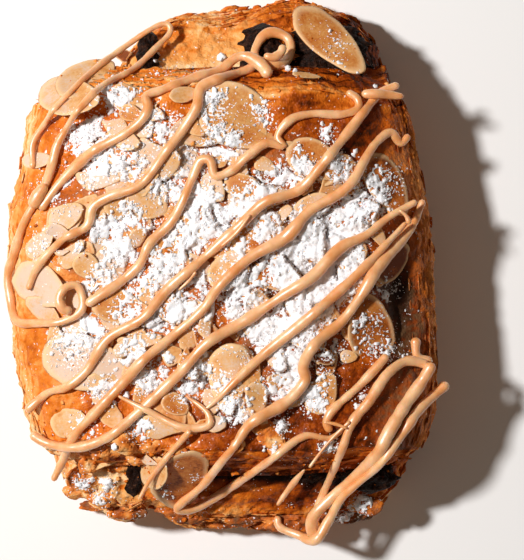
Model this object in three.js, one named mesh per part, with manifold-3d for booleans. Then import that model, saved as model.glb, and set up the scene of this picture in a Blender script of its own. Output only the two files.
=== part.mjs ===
// Almond pain au chocolat: layered dough rolled round three sticks of chocolate, topped with sliced almonds
// and a zigzag of icing. Millimetres, +Z up, origin under the middle of the base.
// The roll lies along Y: its +Y end is called the back, and its -Y end the front.

import { BufferAttribute, BufferGeometry, CatmullRomCurve3, Vector3 } from "three";
import { Group, Mesh, MeshStandardMaterial } from "three";
import Module from "manifold-3d";

const wasm = await Module();
wasm.setup();

// Outer wrap of dough, whose cut ends lean outwards below the top skin
const WRAP_HALF_WIDTH = 51.7;
const WRAP_WIDEST_HEIGHT = 17;
const WRAP_CROWN = 39;
const WRAP_UNDERCUT = 3.5;
const WRAP_BACK = 42;
const WRAP_FRONT = -41;
const WRAP_PLAN_MIDDLE = -2;
const WRAP_PLAN_REACH = 62;
const WRAP_SKEW = 1.55;
const WRAP_SKEW_AT = -20;
const WRAP_SKEW_SPAN = 18;
const WRAP_WALL = 9.5;
const WRAP_LAYERS = 3;
const LAYER_FACE = 0.8;
const WRAP_LEAN = 6.5;
const WRAP_RECESS = 4;
const WRAP_SIDE_WALL = 1.25;
const WRAP_STEP = 1;
const WRAP_BLISTER = 0.7;
const WRAP_RAGGED = 1.1;
const WRAP_COLUMNS = 32;
const WRAP_ROWS = 7;

// Inner coil of dough, lower and longer than the wrap
const COIL_TOP = 26;
const COIL_MIDDLE = 2;
const COIL_REACH = 65.5;
const COIL_HALF_WIDTH_BACK = 33;
const COIL_HALF_WIDTH_FRONT = 45;
const COIL_MIDDLE_BACK = 6;
const COIL_MIDDLE_FRONT = 1.5;
const COIL_CHANGE_SPAN = 30;
const COIL_PLAN_POWER = 7;
const COIL_PLAN_FALL = 0.4;
const COIL_END_POWER = 6;
const COIL_WIDEST = 0.4;
const COIL_SECTION_POWER = 4;
const COIL_STEPS = 5;
const COIL_STEP_RISE = 0.75;
const COIL_COLUMNS = 24;
const NOTCH_X = -19;
const NOTCH_HALF_WIDTH = 4;
const NOTCH_DEPTH = 5;
const NOTCH_START = -45;
const NOTCH_SPAN = 18;

// Rounding of the dough's sections, and of its outline seen from above
const SECTION_POWER = 2.8;
const PLAN_POWER = 3.4;
const PLAN_FALL = 0.385;
const PLAN_LEAST = 0.02;

// Chocolate sticks: where each leaves the back and the front, and half its width and height
const STICKS = {
  chocolate_left: { back: [-19, 59], front: [-21.5, -56], halfWidth: 4.2, halfHeight: 3.2 },
  chocolate_middle: { back: [9, 60], front: [21, -50.5], halfWidth: 5.5, halfHeight: 3.4 },
  chocolate_right: { back: [29, 61], front: [36, -54], halfWidth: 8, halfHeight: 3.8 },
};
const STICK_HEIGHT = 25.5;
const STICK_DROOP = 3;
const STICK_LUMPS = 0.09;
const STICK_BLUNT = 16;
const STICK_END_SHARE = 0.4;
const STICK_CAP = 0.8;
const STICK_STATIONS = [0, 0.03, 0.08, 0.14, 0.5, 0.86, 0.92, 0.97, 1];
const STICK_COLUMNS = 9;
const STICK_CLEARANCE = 0.35;

// Almond slices: middle X and Y, length, width, and turn in degrees
const ALMONDS = [
  [25, 56, 22, 10, -45], [-37, 42, 16, 10, -15], [3.5, 36.5, 21, 15, -25],
  [-23, 41, 9, 7, -60], [5, 20, 11, 6, -20],
  [22, 28.5, 15, 9, -25], [28, 23, 11, 8, -60], [38.5, 21, 17, 9, -60], [31, 14, 12, 7, 20],
  [8, 10, 15, 9, 20], [-13, 3.5, 11, 8, -30], [1.5, 1, 12, 8, 40], [-18.5, 16, 11, 7, -10],
  [-37.5, 13.5, 9, 6, 30], [-44, -3, 15, 10, -30], [-44, 7, 9, 5, 40], [-32.5, 1.5, 7, 6, -45],
  [-32.5, -21.5, 22, 13, -15], [-20.5, -17, 12, 5, 20], [-24.5, -7.5, 14, 9, -10], [-12.5, -9, 7, 6, -60],
  [1.5, -25, 17, 11, -90], [7.5, -30, 9, 5, -90], [-15, -37, 12, 6, -15],
  [-37, -35.5, 9, 7, 20], [-26, -33.5, 8, 7, -40], [-10.5, -49, 17, 12, 50], [23, -28.5, 11, 7, 65],
  [34.5, -13, 18, 10, -70], [40, 2.5, 12, 6, 50], [24, -10, 7, 5, -10],
];
const ALMOND_THICKNESS = 1.5;
const ALMOND_LIFT = 0.45;
const ALMOND_TAPER = 0.22;
const ALMOND_TOP_SHARE = 0.94;
const ALMOND_FEEL = 0.36;
const ALMOND_SIDES = 8;
const ALMOND_STEEPEST = 0.7;

// Lumps of baked almond cream along the front edge of the wrap: middle X and Y, and radius
const CREAM_LUMPS = [[-24, -39.5, 2.6], [-17.5, -41, 2.2], [-28, -42, 2.4], [10, -40, 2], [-35, -50, 2.6]];
const LUMP_FLATNESS = 0.8;
const LUMP_UNEVEN = 0.12;
const LUMP_COLUMNS = 8;
const LUMP_ROWS = 5;

// Strokes of icing: width, and the points that each passes over
const ICING = [
  { width: 1.9, path: [[-46, 25], [-46, 31], [-43, 35.5], [-34, 46], [-28.5, 51.5], [-20, 58],
    [-15.5, 60.5]] },
  { width: 2.2, path: [[-15.5, 60.5], [-13.5, 59], [-16, 55.5], [-22.5, 48.5], [-28, 45], [-34, 38.5],
    [-39.5, 31], [-41, 26], [-43, 20.5], [-47, 14], [-49, 10]] },
  { width: 2.2, path: [[-44, 15], [-39, 21.5], [-32, 28], [-23, 33], [-19, 36.5], [-18, 39], [-18.5, 41.5],
    [-15, 43], [-6.5, 46.5], [-1, 48.5], [3, 51.5], [5.5, 51.5], [9, 49], [10.5, 46.5]] },
  { width: 2.2, path: [[-47, -4], [-44.5, 1.5], [-38, 8], [-32.5, 11], [-31, 15.5], [-27, 18], [-20, 20.5],
    [-14, 28], [-9.5, 34], [-6.5, 39], [-5.5, 43.5], [0.5, 46.5], [7.5, 50]] },
  { width: 2.4, path: [[8, 49.5], [7, 53], [9, 57], [11.5, 58], [15, 56.5]] },
  { width: 2.4, path: [[15, 56.5], [15.7, 54], [14, 50.5], [11, 49.7], [8.5, 51]] },
  { width: 2, path: [[-49, 10], [-51, 4], [-52.5, -0.5], [-52, -5.5], [-50, -11.5], [-44.5, -12],
    [-38.5, -11.5], [-34, -9], [-33.5, -6.5], [-35, -3]] },
  { width: 2.2, path: [[-35, -3], [-37.5, -3.5], [-39, -6], [-38, -8.5], [-34.5, -8.5], [-31, -6.5],
    [-25, -2.5], [-20, 2], [-17.5, 7], [-12.5, 12], [-10, 16.5], [-7.5, 22.5],
    [-5.5, 26.5], [-3.5, 26.5], [-2, 22.5]] },
  { width: 2.2, path: [[-2, 22.5], [1.5, 24], [5.5, 27.5], [10, 30.5], [13.5, 30]] },
  { width: 2.2, path: [[13.5, 30], [12.5, 32], [15.5, 36], [20.5, 37.5], [28, 37.5], [31.5, 39], [31.5, 41],
    [29, 43]] },
  { width: 2.3, path: [[41.5, 45], [37, 43], [34, 39.5], [29, 33], [23, 25.5], [17.5, 19.5], [9.5, 16.5],
    [3.5, 11], [-6, 2.5], [-13.5, -4], [-19, -10.5], [-27.5, -15.5], [-33, -23.5], [-37.5, -27],
    [-42, -28.5], [-47.5, -33]] },
  { width: 2.4, path: [[44, 33], [42, 31], [39.5, 33.5], [36, 31], [33, 26.5], [30.5, 22], [27.5, 19],
    [20, 14.5], [14.5, 8.5], [6, 3.5], [-1.5, -3.5], [-5, -8.5], [-13, -15.5], [-19, -20.5], [-24, -26],
    [-31.5, -34], [-36, -39], [-39.5, -46], [-41.5, -50]] },
  { width: 2.6, path: [[45.5, 17], [38.5, 13], [33.5, 9], [27.5, 6], [20.5, -1], [13.5, -5.5], [4.5, -11.5],
    [-4, -16.5], [-10.5, -23.5], [-20.5, -33], [-28, -39], [-36, -41.5], [-43, -40.5], [-46.5, -38.5]] },
  { width: 2.3, path: [[43, 12], [37, 5.5], [29.5, -2], [18, -12], [10, -18.5], [3.5, -24.5], [-2, -30],
    [-5, -32.5]] },
  { width: 2.6, path: [[47.5, 17.5], [44.5, 11], [36, 1], [32, -5.5], [27.5, -11.5], [21, -17], [18.5, -22],
    [19, -25], [15, -30], [6, -35.5], [2.5, -40.5], [-1, -45], [-5.5, -51], [-10.5, -55.5], [-11.5, -57.5]] },
  { width: 2.1, path: [[-11.5, -57.5], [-7, -57], [-1, -53.5], [8, -46.5], [19, -38.5], [25, -39],
    [29, -36]] },
  { width: 2.3, path: [[38.5, -19.5], [32.5, -26], [25, -33], [24, -35.5], [25, -37.5]] },
  { width: 2.2, path: [[45.5, -15.5], [46, -20], [49.5, -21.5]] },
  { width: 2.3, path: [[48.5, -22], [43.5, -21], [39, -23.5], [34, -30.5], [30, -35.5], [28, -41], [26, -47],
    [23.5, -54], [22, -57.5]] },
  { width: 2.9, path: [[49.5, -21.5], [46.5, -26.5], [42.5, -32], [38.5, -38.5], [36, -43.5], [31, -49.5],
    [25.5, -54.5], [21, -59]] },
  { width: 2.3, path: [[53.5, -26.5], [46, -33], [42, -38.5], [36.5, -46], [28, -54.5], [25, -60],
    [21.5, -65], [17.5, -64], [13, -62], [12.5, -59.5]] },
];
const ICING_SIDES = 5;
const ICING_STEP = 7;
const ICING_RIDE = 0.55;
const ICING_SAG = 0.12;
const ICING_SETTLE = 40;
const ICING_FALL = 0.9;
const ICING_END_SHARE = 0.75;
const ICING_END_REACH = 0.12;

// Moves the food sideways so that its box is centred over the origin
const CENTRING = [-0.41, -1.31];

const PASTRY_FINISH = { color: 0xd4863c, roughness: 0.55, metalness: 0 };
const CHOCOLATE_FINISH = { color: 0x2b1710, roughness: 0.45, metalness: 0 };

// A power that keeps the sign of its base
function signedPower(base, exponent) {
  return Math.sign(base) * Math.abs(base) ** exponent;
}

function clamp(value, low, high) {
  return Math.min(high, Math.max(low, value));
}

// Height of a rounded section, as a share of its rise, at a share of its half width
function sectionShare(across, power) {
  return (1 - Math.min(1, Math.abs(across)) ** power) ** (1 / power);
}

// A closed surface from rows of points round it; the first and the last row are one point each
function closedSurface(rows) {
  const points = rows.flat();
  const starts = [];
  let count = 0;
  for (const row of rows) {
    starts.push(count);
    count += row.length;
  }
  const triangles = [];
  for (let r = 0; r < rows.length - 1; r += 1) {
    const columns = Math.max(rows[r].length, rows[r + 1].length);
    for (let c = 0; c < columns; c += 1) {
      const next = (c + 1) % columns;
      const corner = (row, column) => starts[row] + Math.min(column, rows[row].length - 1);
      const [a, b] = [corner(r, c), corner(r, next)];
      const [d, e] = [corner(r + 1, c), corner(r + 1, next)];
      if (a !== b) triangles.push(a, b, d);
      if (d !== e) triangles.push(b, e, d);
    }
  }
  return new wasm.Manifold(new wasm.Mesh({
    numProp: 3,
    vertProperties: new Float32Array(points.flat()),
    triVerts: new Uint32Array(triangles),
  }));
}

// One row of points at even turns, from a function of the angle
function ringOf(columns, pointAt) {
  return Array.from({ length: columns }, (_, c) => pointAt((c / columns) * 2 * Math.PI));
}

// Plan outline of the wrap
function wrapHalfWidth(y) {
  const along = Math.abs((y - WRAP_PLAN_MIDDLE) / WRAP_PLAN_REACH);
  return WRAP_HALF_WIDTH * Math.max(PLAN_LEAST, 1 - along ** PLAN_POWER) ** PLAN_FALL;
}

// The wrap lies a little askew: its middle drifts to +X towards the front
function wrapMiddle(y) {
  return -WRAP_SKEW * Math.tanh((y - WRAP_SKEW_AT) / WRAP_SKEW_SPAN);
}

// Low swells of the baked crust
function blister(x, y) {
  const broad = Math.sin(x / 6.3 + 1.1) * Math.sin(y / 7.7 + 0.4);
  const narrow = 0.6 * Math.sin(x / 3.9 - y / 4.7);
  return WRAP_BLISTER * (broad + narrow);
}

// A point of the wrap's section at one Y, moved in from the skin by an inset
function wrapPoint(angle, y, inset) {
  const outward = [Math.cos(angle), Math.sin(angle)].map((part) => signedPower(part, 2 / SECTION_POWER));
  const rise = outward[1] > 0 ? WRAP_CROWN - WRAP_WIDEST_HEIGHT : WRAP_WIDEST_HEIGHT + WRAP_UNDERCUT;
  const x = wrapMiddle(y) + (wrapHalfWidth(y) - WRAP_SIDE_WALL * inset) * outward[0];
  const z = WRAP_WIDEST_HEIGHT + (rise - inset) * outward[1];
  const swell = outward[1] > 0 ? blister(x, y) * outward[1] : 0;
  return [x, y, Math.max(0, z + swell)];
}

// Where the cut end of the wrap starts at one angle: the edge is a little ragged
function wrapEnd(edge, angle) {
  return edge + WRAP_RAGGED * (Math.sin(2 * angle + edge) + 0.6 * Math.sin(5 * angle - edge));
}

// Rows of one cut end from its skin inwards: stepped layers that lean out, then a groove round the coil
function wrapEndRows(edge) {
  const out = Math.sign(edge);
  const rows = [];
  const addRow = (inset, lean) => rows.push(ringOf(WRAP_COLUMNS, (angle) => {
    const point = wrapPoint(angle, wrapEnd(edge, angle), inset);
    return [point[0], point[1] + out * lean, point[2]];
  }));
  for (let layer = 0; layer < WRAP_LAYERS; layer += 1) {
    const start = layer / WRAP_LAYERS;
    const end = (layer + LAYER_FACE) / WRAP_LAYERS;
    addRow(start * WRAP_WALL, start * WRAP_LEAN + Math.sign(layer) * WRAP_STEP);
    addRow(end * WRAP_WALL, end * WRAP_LEAN + WRAP_STEP);
  }
  addRow(WRAP_WALL + 0.4, -WRAP_RECESS);
  rows.push([[wrapMiddle(edge), edge - out * WRAP_RECESS, WRAP_WIDEST_HEIGHT]]);
  return rows;
}

function makeWrap() {
  const side = [];
  for (let r = 1; r < WRAP_ROWS; r += 1) {
    side.push(ringOf(WRAP_COLUMNS, (angle) => {
      const share = r / WRAP_ROWS;
      const y = wrapEnd(WRAP_BACK, angle) * (1 - share) + wrapEnd(WRAP_FRONT, angle) * share;
      return wrapPoint(angle, y, 0);
    }));
  }
  return closedSurface([...wrapEndRows(WRAP_BACK).reverse(), ...side, ...wrapEndRows(WRAP_FRONT)]);
}

// Plan of the coil: its share of reach along Y, half width and middle
function coilShare(y) {
  return Math.min(1, Math.abs((y - COIL_MIDDLE) / COIL_REACH));
}

function coilHalfWidth(y) {
  const mean = (COIL_HALF_WIDTH_BACK + COIL_HALF_WIDTH_FRONT) / 2;
  const spread = (COIL_HALF_WIDTH_FRONT - COIL_HALF_WIDTH_BACK) / 2;
  const outline = Math.max(PLAN_LEAST, 1 - coilShare(y) ** COIL_PLAN_POWER) ** COIL_PLAN_FALL;
  return (mean - spread * Math.tanh(y / COIL_CHANGE_SPAN)) * outline;
}

function coilMiddle(y) {
  const mean = (COIL_MIDDLE_BACK + COIL_MIDDLE_FRONT) / 2;
  return mean + ((COIL_MIDDLE_BACK - COIL_MIDDLE_FRONT) / 2) * Math.tanh(y / COIL_CHANGE_SPAN);
}

function coilTop(y) {
  return COIL_TOP * Math.sqrt(1 - coilShare(y) ** COIL_END_POWER);
}

// A gap between two lobes of the coil at the front
function notch(x, y) {
  const beyond = clamp((NOTCH_START - y) / NOTCH_SPAN, 0, 1);
  return NOTCH_DEPTH * beyond * Math.exp(-(((x - NOTCH_X) / NOTCH_HALF_WIDTH) ** 2));
}

function coilRing(y, top) {
  return ringOf(COIL_COLUMNS, (angle) => {
    const x = coilMiddle(y) + coilHalfWidth(y) * signedPower(Math.cos(angle), 2 / COIL_SECTION_POWER);
    const widest = COIL_WIDEST * top;
    const rise = Math.sin(angle) > 0 ? top - widest : widest + WRAP_UNDERCUT;
    const z = widest + rise * signedPower(Math.sin(angle), 2 / COIL_SECTION_POWER);
    return [x, y + notch(x, y), Math.max(0, z)];
  });
}

// The coil's ends go down in steps, one for each layer of dough that shows
function coilEndRows(out) {
  const stepRise = COIL_TOP / COIL_STEPS;
  const tip = COIL_MIDDLE + out * COIL_REACH;
  const rows = [[[coilMiddle(tip), tip, COIL_WIDEST * stepRise]]];
  for (let step = 1; step < COIL_STEPS; step += 1) {
    const level = step * stepRise;
    const y = COIL_MIDDLE + out * COIL_REACH * (1 - (level / COIL_TOP) ** 2) ** (1 / COIL_END_POWER);
    rows.push(coilRing(y + out * 0.2, level - COIL_STEP_RISE * stepRise * 0.5));
    rows.push(coilRing(y - out * 0.2, level + COIL_STEP_RISE * stepRise * 0.5));
  }
  return rows;
}

function makeCoil() {
  return closedSurface([...coilEndRows(1), coilRing(COIL_MIDDLE, COIL_TOP), ...coilEndRows(-1).reverse()]);
}

// Path of one chocolate stick: level inside the roll, drooping onto the coil where it comes out
function stickPath(stick) {
  const [back, front] = [stick.back, stick.front];
  const at = (share, y, z) => new Vector3(back[0] + (front[0] - back[0]) * share, y, z);
  return new CatmullRomCurve3([
    at(0, back[1], STICK_HEIGHT - STICK_DROOP),
    at(0.15, WRAP_BACK, STICK_HEIGHT),
    at(0.85, WRAP_FRONT, STICK_HEIGHT),
    at(1, front[1], STICK_HEIGHT - STICK_DROOP),
  ]);
}

// A stick of chocolate with lumpy sides and blunt ends, made larger all round by a growth
function makeStick(stick, growth) {
  const path = stickPath(stick);
  const rows = [];
  for (const [r, share] of STICK_STATIONS.entries()) {
    const centre = path.getPoint(share);
    const round = Math.sqrt(1 - Math.abs(2 * share - 1) ** STICK_BLUNT);
    const taper = STICK_END_SHARE + (1 - STICK_END_SHARE) * round;
    rows.push(ringOf(STICK_COLUMNS, (angle) => {
      const lump = 1 + STICK_LUMPS * (Math.sin(3 * angle + 5.1 * r) + Math.sin(2.3 * r + stick.halfWidth));
      const halfWidth = stick.halfWidth * lump * taper + growth;
      const halfHeight = stick.halfHeight * lump * taper + growth;
      return [centre.x + halfWidth * Math.cos(angle), centre.y, centre.z + halfHeight * Math.sin(angle)];
    }));
  }
  const [first, last] = [path.getPoint(0), path.getPoint(1)];
  const cap = STICK_CAP + growth;
  return closedSurface([[[first.x, first.y + cap, first.z]], ...rows, [[last.x, last.y - cap, last.z]]]);
}

// Height of the bare food under a point, looking straight down
function wrapHeight(x, y) {
  const beyond = clamp(y > 0 ? y - WRAP_BACK : WRAP_FRONT - y, 0, WRAP_LEAN + 1);
  if (beyond > WRAP_LEAN) return 0;
  const share = sectionShare((x - wrapMiddle(y)) / wrapHalfWidth(y), SECTION_POWER);
  const rise = WRAP_CROWN - WRAP_WIDEST_HEIGHT - (beyond / WRAP_LEAN) * WRAP_WALL;
  return share > 0 ? WRAP_WIDEST_HEIGHT + rise * share + blister(x, y) * share : 0;
}

function coilHeight(x, y) {
  return coilTop(y) * sectionShare((x - coilMiddle(y)) / coilHalfWidth(y), COIL_SECTION_POWER);
}

function stickHeight(stick, x, y) {
  const share = (stick.back[1] - y) / (stick.back[1] - stick.front[1]);
  if (share < 0 || share > 1) return 0;
  const centre = stickPath(stick).getPoint(share);
  const across = (x - centre.x) / (stick.halfWidth + 1);
  return Math.abs(across) < 1 ? centre.z + (stick.halfHeight + 1) * Math.sqrt(1 - across ** 2) : 0;
}

function foodHeight(x, y) {
  const sticks = Object.values(STICKS).map((stick) => stickHeight(stick, x, y));
  return Math.max(wrapHeight(x, y), coilHeight(x, y), ...sticks);
}

// A thin slice of almond, pointed at one end, laid on the slope under it
function makeAlmond([x, y, length, width, turn]) {
  const along = new Vector3(1, 0, 0).applyAxisAngle(new Vector3(0, 0, 1), (turn * Math.PI) / 180);
  const across = new Vector3(-along.y, along.x, 0);
  const heightAt = (u, v) => foodHeight(x + along.x * u + across.x * v, y + along.y * u + across.y * v);
  const [reachU, reachV] = [ALMOND_FEEL * length, ALMOND_FEEL * width];
  const ends = [heightAt(reachU, 0), heightAt(-reachU, 0), heightAt(0, reachV), heightAt(0, -reachV)];
  const slopeU = clamp((ends[0] - ends[1]) / (2 * reachU), -ALMOND_STEEPEST, ALMOND_STEEPEST);
  const slopeV = clamp((ends[2] - ends[3]) / (2 * reachV), -ALMOND_STEEPEST, ALMOND_STEEPEST);
  const level = ends.reduce((sum, value) => sum + value, 0) / ends.length + ALMOND_LIFT;
  const place = (u, v, lift) => [
    x + along.x * u + across.x * v,
    y + along.y * u + across.y * v,
    level + slopeU * u + slopeV * v + lift,
  ];
  const rim = (lift, shrink) => ringOf(ALMOND_SIDES, (angle) => {
    const u = 0.5 * length * shrink * Math.cos(angle);
    const v = 0.5 * width * shrink * Math.sin(angle) * (1 - ALMOND_TAPER * Math.cos(angle));
    return place(u, v, lift);
  });
  const half = ALMOND_THICKNESS / 2;
  const [under, over] = [rim(-half, 1), rim(half, ALMOND_TOP_SHARE)];
  return closedSurface([[place(0, 0, -half)], under, over, [place(0, 0, half)]]);
}

function makeLump([x, y, radius]) {
  const height = foodHeight(x, y);
  const rows = [];
  for (let r = 1; r < LUMP_ROWS; r += 1) {
    const polar = (r / LUMP_ROWS) * Math.PI;
    rows.push(ringOf(LUMP_COLUMNS, (angle) => {
      const reach = radius * Math.sin(polar) * (1 + LUMP_UNEVEN * Math.sin(3 * angle + x));
      const lift = LUMP_FLATNESS * reach * Math.sin(angle);
      return [x + reach * Math.cos(angle), y + radius * Math.cos(polar), height + lift];
    }));
  }
  return closedSurface([[[x, y + radius, height]], ...rows, [[x, y - radius, height]]]);
}

// A stroke of icing: a round-topped string laid over the food, which spans the dips between the high spots
function makeIcing({ width, path }) {
  const flat = new CatmullRomCurve3(path.map(([x, y]) => new Vector3(x, y, 0)), false, "centripetal");
  const steps = Math.max(3, Math.round(flat.getLength() / ICING_STEP));
  const points = flat.getSpacedPoints(steps);
  const floor = points.map((point) => foodHeight(point.x, point.y) + ICING_RIDE);
  const level = [...floor];
  for (let pass = 0; pass < ICING_SETTLE; pass += 1) {
    for (let i = 0; i <= steps; i += 1) {
      const before = level[Math.max(0, i - 1)];
      const after = level[Math.min(steps, i + 1)];
      const spanned = (before + after) / 2 - ICING_SAG;
      const hung = i % steps === 0 ? Math.max(before, after) - ICING_FALL * ICING_STEP : spanned;
      level[i] = Math.max(floor[i], hung, width / 2);
    }
  }
  points.forEach((point, i) => point.setZ(level[i]));
  const rows = points.map((point, i) => {
    const tangent = points[Math.min(steps, i + 1)].clone().sub(points[Math.max(0, i - 1)]).normalize();
    const side = new Vector3(0, 0, 1).cross(tangent).normalize();
    const lift = tangent.clone().cross(side);
    const radius = (width / 2) * (i % steps === 0 ? ICING_END_SHARE : 1);
    return ringOf(ICING_SIDES, (angle) => point.clone()
      .addScaledVector(side, radius * Math.cos(angle))
      .addScaledVector(lift, radius * Math.sin(angle)).toArray());
  });
  const first = points[0].clone().lerp(points[1], -ICING_END_REACH).toArray();
  const last = points[steps].clone().lerp(points[steps - 1], -ICING_END_REACH).toArray();
  return closedSurface([[first], ...rows, [last]]);
}

// The largest body of a solid, without loose scraps or sealed hollows
function wholeBody(solid) {
  return solid.decompose().reduce((best, body) => (body.volume() > best.volume() ? body : best));
}

function makePastry() {
  let pastry = makeWrap().add(makeCoil());
  for (const lump of CREAM_LUMPS) pastry = pastry.add(makeLump(lump));
  for (const almond of ALMONDS) pastry = pastry.add(makeAlmond(almond));
  for (const stroke of ICING) pastry = pastry.add(makeIcing(stroke));
  for (const stick of Object.values(STICKS)) pastry = pastry.subtract(makeStick(stick, STICK_CLEARANCE));
  return wholeBody(pastry);
}

function addMesh(group, name, solid, finish) {
  const { vertProperties, triVerts } = solid.getMesh();
  const geometry = new BufferGeometry();
  geometry.setAttribute("position", new BufferAttribute(vertProperties, 3));
  geometry.setIndex(new BufferAttribute(triVerts, 1));
  geometry.computeVertexNormals();
  const mesh = new Mesh(geometry, new MeshStandardMaterial(finish));
  mesh.name = name;
  group.add(mesh);
}

const food = new Group();
addMesh(food, "pastry", makePastry(), PASTRY_FINISH);
for (const [name, stick] of Object.entries(STICKS)) {
  addMesh(food, name, makeStick(stick, 0), CHOCOLATE_FINISH);
}
food.position.set(CENTRING[0], CENTRING[1], 0);

export default food;
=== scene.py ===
"""Looks of an almond pain au chocolat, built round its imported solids.

Shapes are worked out in millimetres with numpy, in the coordinates of the part's source. They are moved by
CENTRING and turned into metres when a mesh is made. The roll lies along Y: its +Y end is called the back,
and its -Y end the front. What is laid first raises a height grid, and what comes later lies on that.
"""

import logging
import math
from collections.abc import Callable
from dataclasses import dataclass, field
from enum import Enum
from typing import Any

import bpy
import numpy as np
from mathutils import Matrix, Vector
from numpy.lib.stride_tricks import sliding_window_view


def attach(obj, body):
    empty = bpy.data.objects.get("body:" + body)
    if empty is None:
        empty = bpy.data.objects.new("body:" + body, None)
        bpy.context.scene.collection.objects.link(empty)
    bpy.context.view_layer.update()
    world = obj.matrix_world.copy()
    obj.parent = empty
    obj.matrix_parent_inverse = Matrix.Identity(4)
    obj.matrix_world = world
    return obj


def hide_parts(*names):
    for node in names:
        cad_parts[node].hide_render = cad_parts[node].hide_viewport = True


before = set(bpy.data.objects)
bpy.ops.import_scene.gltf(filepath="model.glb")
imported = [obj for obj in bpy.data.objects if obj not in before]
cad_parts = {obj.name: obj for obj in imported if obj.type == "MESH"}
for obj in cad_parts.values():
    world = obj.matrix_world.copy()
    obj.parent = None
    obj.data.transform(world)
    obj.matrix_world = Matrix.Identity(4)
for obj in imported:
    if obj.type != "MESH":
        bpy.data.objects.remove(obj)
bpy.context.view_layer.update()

LOG = logging.getLogger("pastry")
Array = np.ndarray
Material = bpy.types.Material
NodeTree = bpy.types.NodeTree
Piece = bpy.types.Object
Socket = bpy.types.NodeSocket
Colour = tuple[float, float, float]
Scale = tuple[tuple[float, Colour], ...]

MM = 0.001
BODY = "root"
CENTRING = np.array([-0.41, -1.31, 0.0])
UP = np.array([0.0, 0.0, 1.0])
TINY = 1e-9
FULL_TURN = 2 * np.pi
FINE_ANGLES = 4001
# Points of a stretch of a path before it is cut into even steps
PATH_FINENESS = 24
# A section's base, up to this height, is hidden and has columns five times wider
BASE_HEIGHT = 2.0
BASE_WEIGHT = 0.2
# Draws a cloud out along X, which gives streaks across the roll
STREAKED = np.array([0.12, 1.0, 1.0])
DUST_COLOUR = (240, 236, 236)


class Slot(Enum):
    """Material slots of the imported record."""

    CRUST = "crust"
    CHOCOLATE = "chocolate"
    ALMOND = "almond"
    ICING = "icing"
    SUGAR = "sugar"


class Toast(Enum):
    """How far a slice of almond is toasted, from 0 for cream to 1 for brown."""

    CREAM = 0.0
    BLOND = 0.28
    TAN = 0.55
    CARAMEL = 0.8
    BROWN = 1.0


# Random fields and curves

CORNER_FACTORS = np.array([374761393, 668265263, 2246822519], dtype=np.uint32)
SEED_FACTOR = 40503
FOLD_FACTORS = np.array([2654435761, 3266489917], dtype=np.uint32)


def lattice_value(cell: Array, seed: int) -> Array:
    """Random value from -1 to 1 for whole-number cells, from their multiplied and folded bits.

    Args:
        cell: whole-number coordinates, shape (..., 3).
        seed: picks one of many lattices.

    Returns:
        One value for each cell.
    """
    bits = cell.astype(np.int64).astype(np.uint32) * CORNER_FACTORS
    mixed = bits.sum(axis=-1, dtype=np.uint32) + np.uint32(seed * SEED_FACTOR)
    mixed = (mixed ^ (mixed >> np.uint32(15))) * FOLD_FACTORS[0]
    mixed = (mixed ^ (mixed >> np.uint32(13))) * FOLD_FACTORS[1]
    return (mixed ^ (mixed >> np.uint32(16))) / 2.0**31 - 1.0


def value_noise(points: Array, size: float, seed: int) -> Array:
    """Smooth random field: values at the corners of cubes, blended inside by a fifth-order curve.

    Args:
        points: places in mm, shape (..., 3).
        size: side of a cube in mm.
        seed: picks one of many fields.

    Returns:
        Values from -1 to 1, one for each point.
    """
    place = points / size
    cell = np.floor(place)
    share = place - cell
    blend = share**3 * (share * (share * 6 - 15) + 10)
    total = np.zeros(points.shape[:-1])
    for corner in np.ndindex(2, 2, 2):
        weight = np.where(np.array(corner, bool), blend, 1 - blend).prod(axis=-1)
        total += weight * lattice_value(cell + corner, seed)
    return total


def cloud(points: Array, size: float, octaves: int, seed: int) -> Array:
    """Sum of smooth random fields, each of half the size and half the strength of the one before.

    Args:
        points: places in mm, shape (..., 3).
        size: size of the largest swells in mm.
        octaves: number of fields.
        seed: picks one of many clouds.

    Returns:
        Values of about -1 to 1, one for each point.
    """
    strengths = 0.5 ** np.arange(octaves)
    fields = [
        strength * value_noise(points, size * strength, seed + order)
        for order, strength in enumerate(strengths)
    ]
    return sum(fields) / strengths.sum() * 1.6


def flat_points(x: Array, y: Array) -> Array:
    """Points at height 0 from their X and Y."""
    return np.stack([x, y, np.zeros_like(x)], axis=-1)


def eased(low: float, high: float, value: Array) -> Array:
    """Rises from 0 at low to 1 at high along a third-order curve, and stays level outside."""
    share = np.clip((value - low) / (high - low), 0.0, 1.0)
    return share * share * (3 - 2 * share)


def signed_power(base: Array, exponent: float) -> Array:
    """A power that keeps the sign of its base."""
    return np.sign(base) * np.abs(base) ** exponent


def unit(vectors: Array) -> Array:
    """Vectors of length 1 in the same directions."""
    return vectors / np.maximum(np.linalg.norm(vectors, axis=-1, keepdims=True), TINY)


def turns(count: int) -> Array:
    """Even angles round a whole turn, without the one that closes it."""
    return np.linspace(0, FULL_TURN, count, endpoint=False)


def lengths_along(points: Array) -> Array:
    """Distance of each point of a path from its start, along the path."""
    steps = np.linalg.norm(np.diff(points, axis=0), axis=-1)
    return np.concatenate([[0.0], np.cumsum(steps)])


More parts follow.
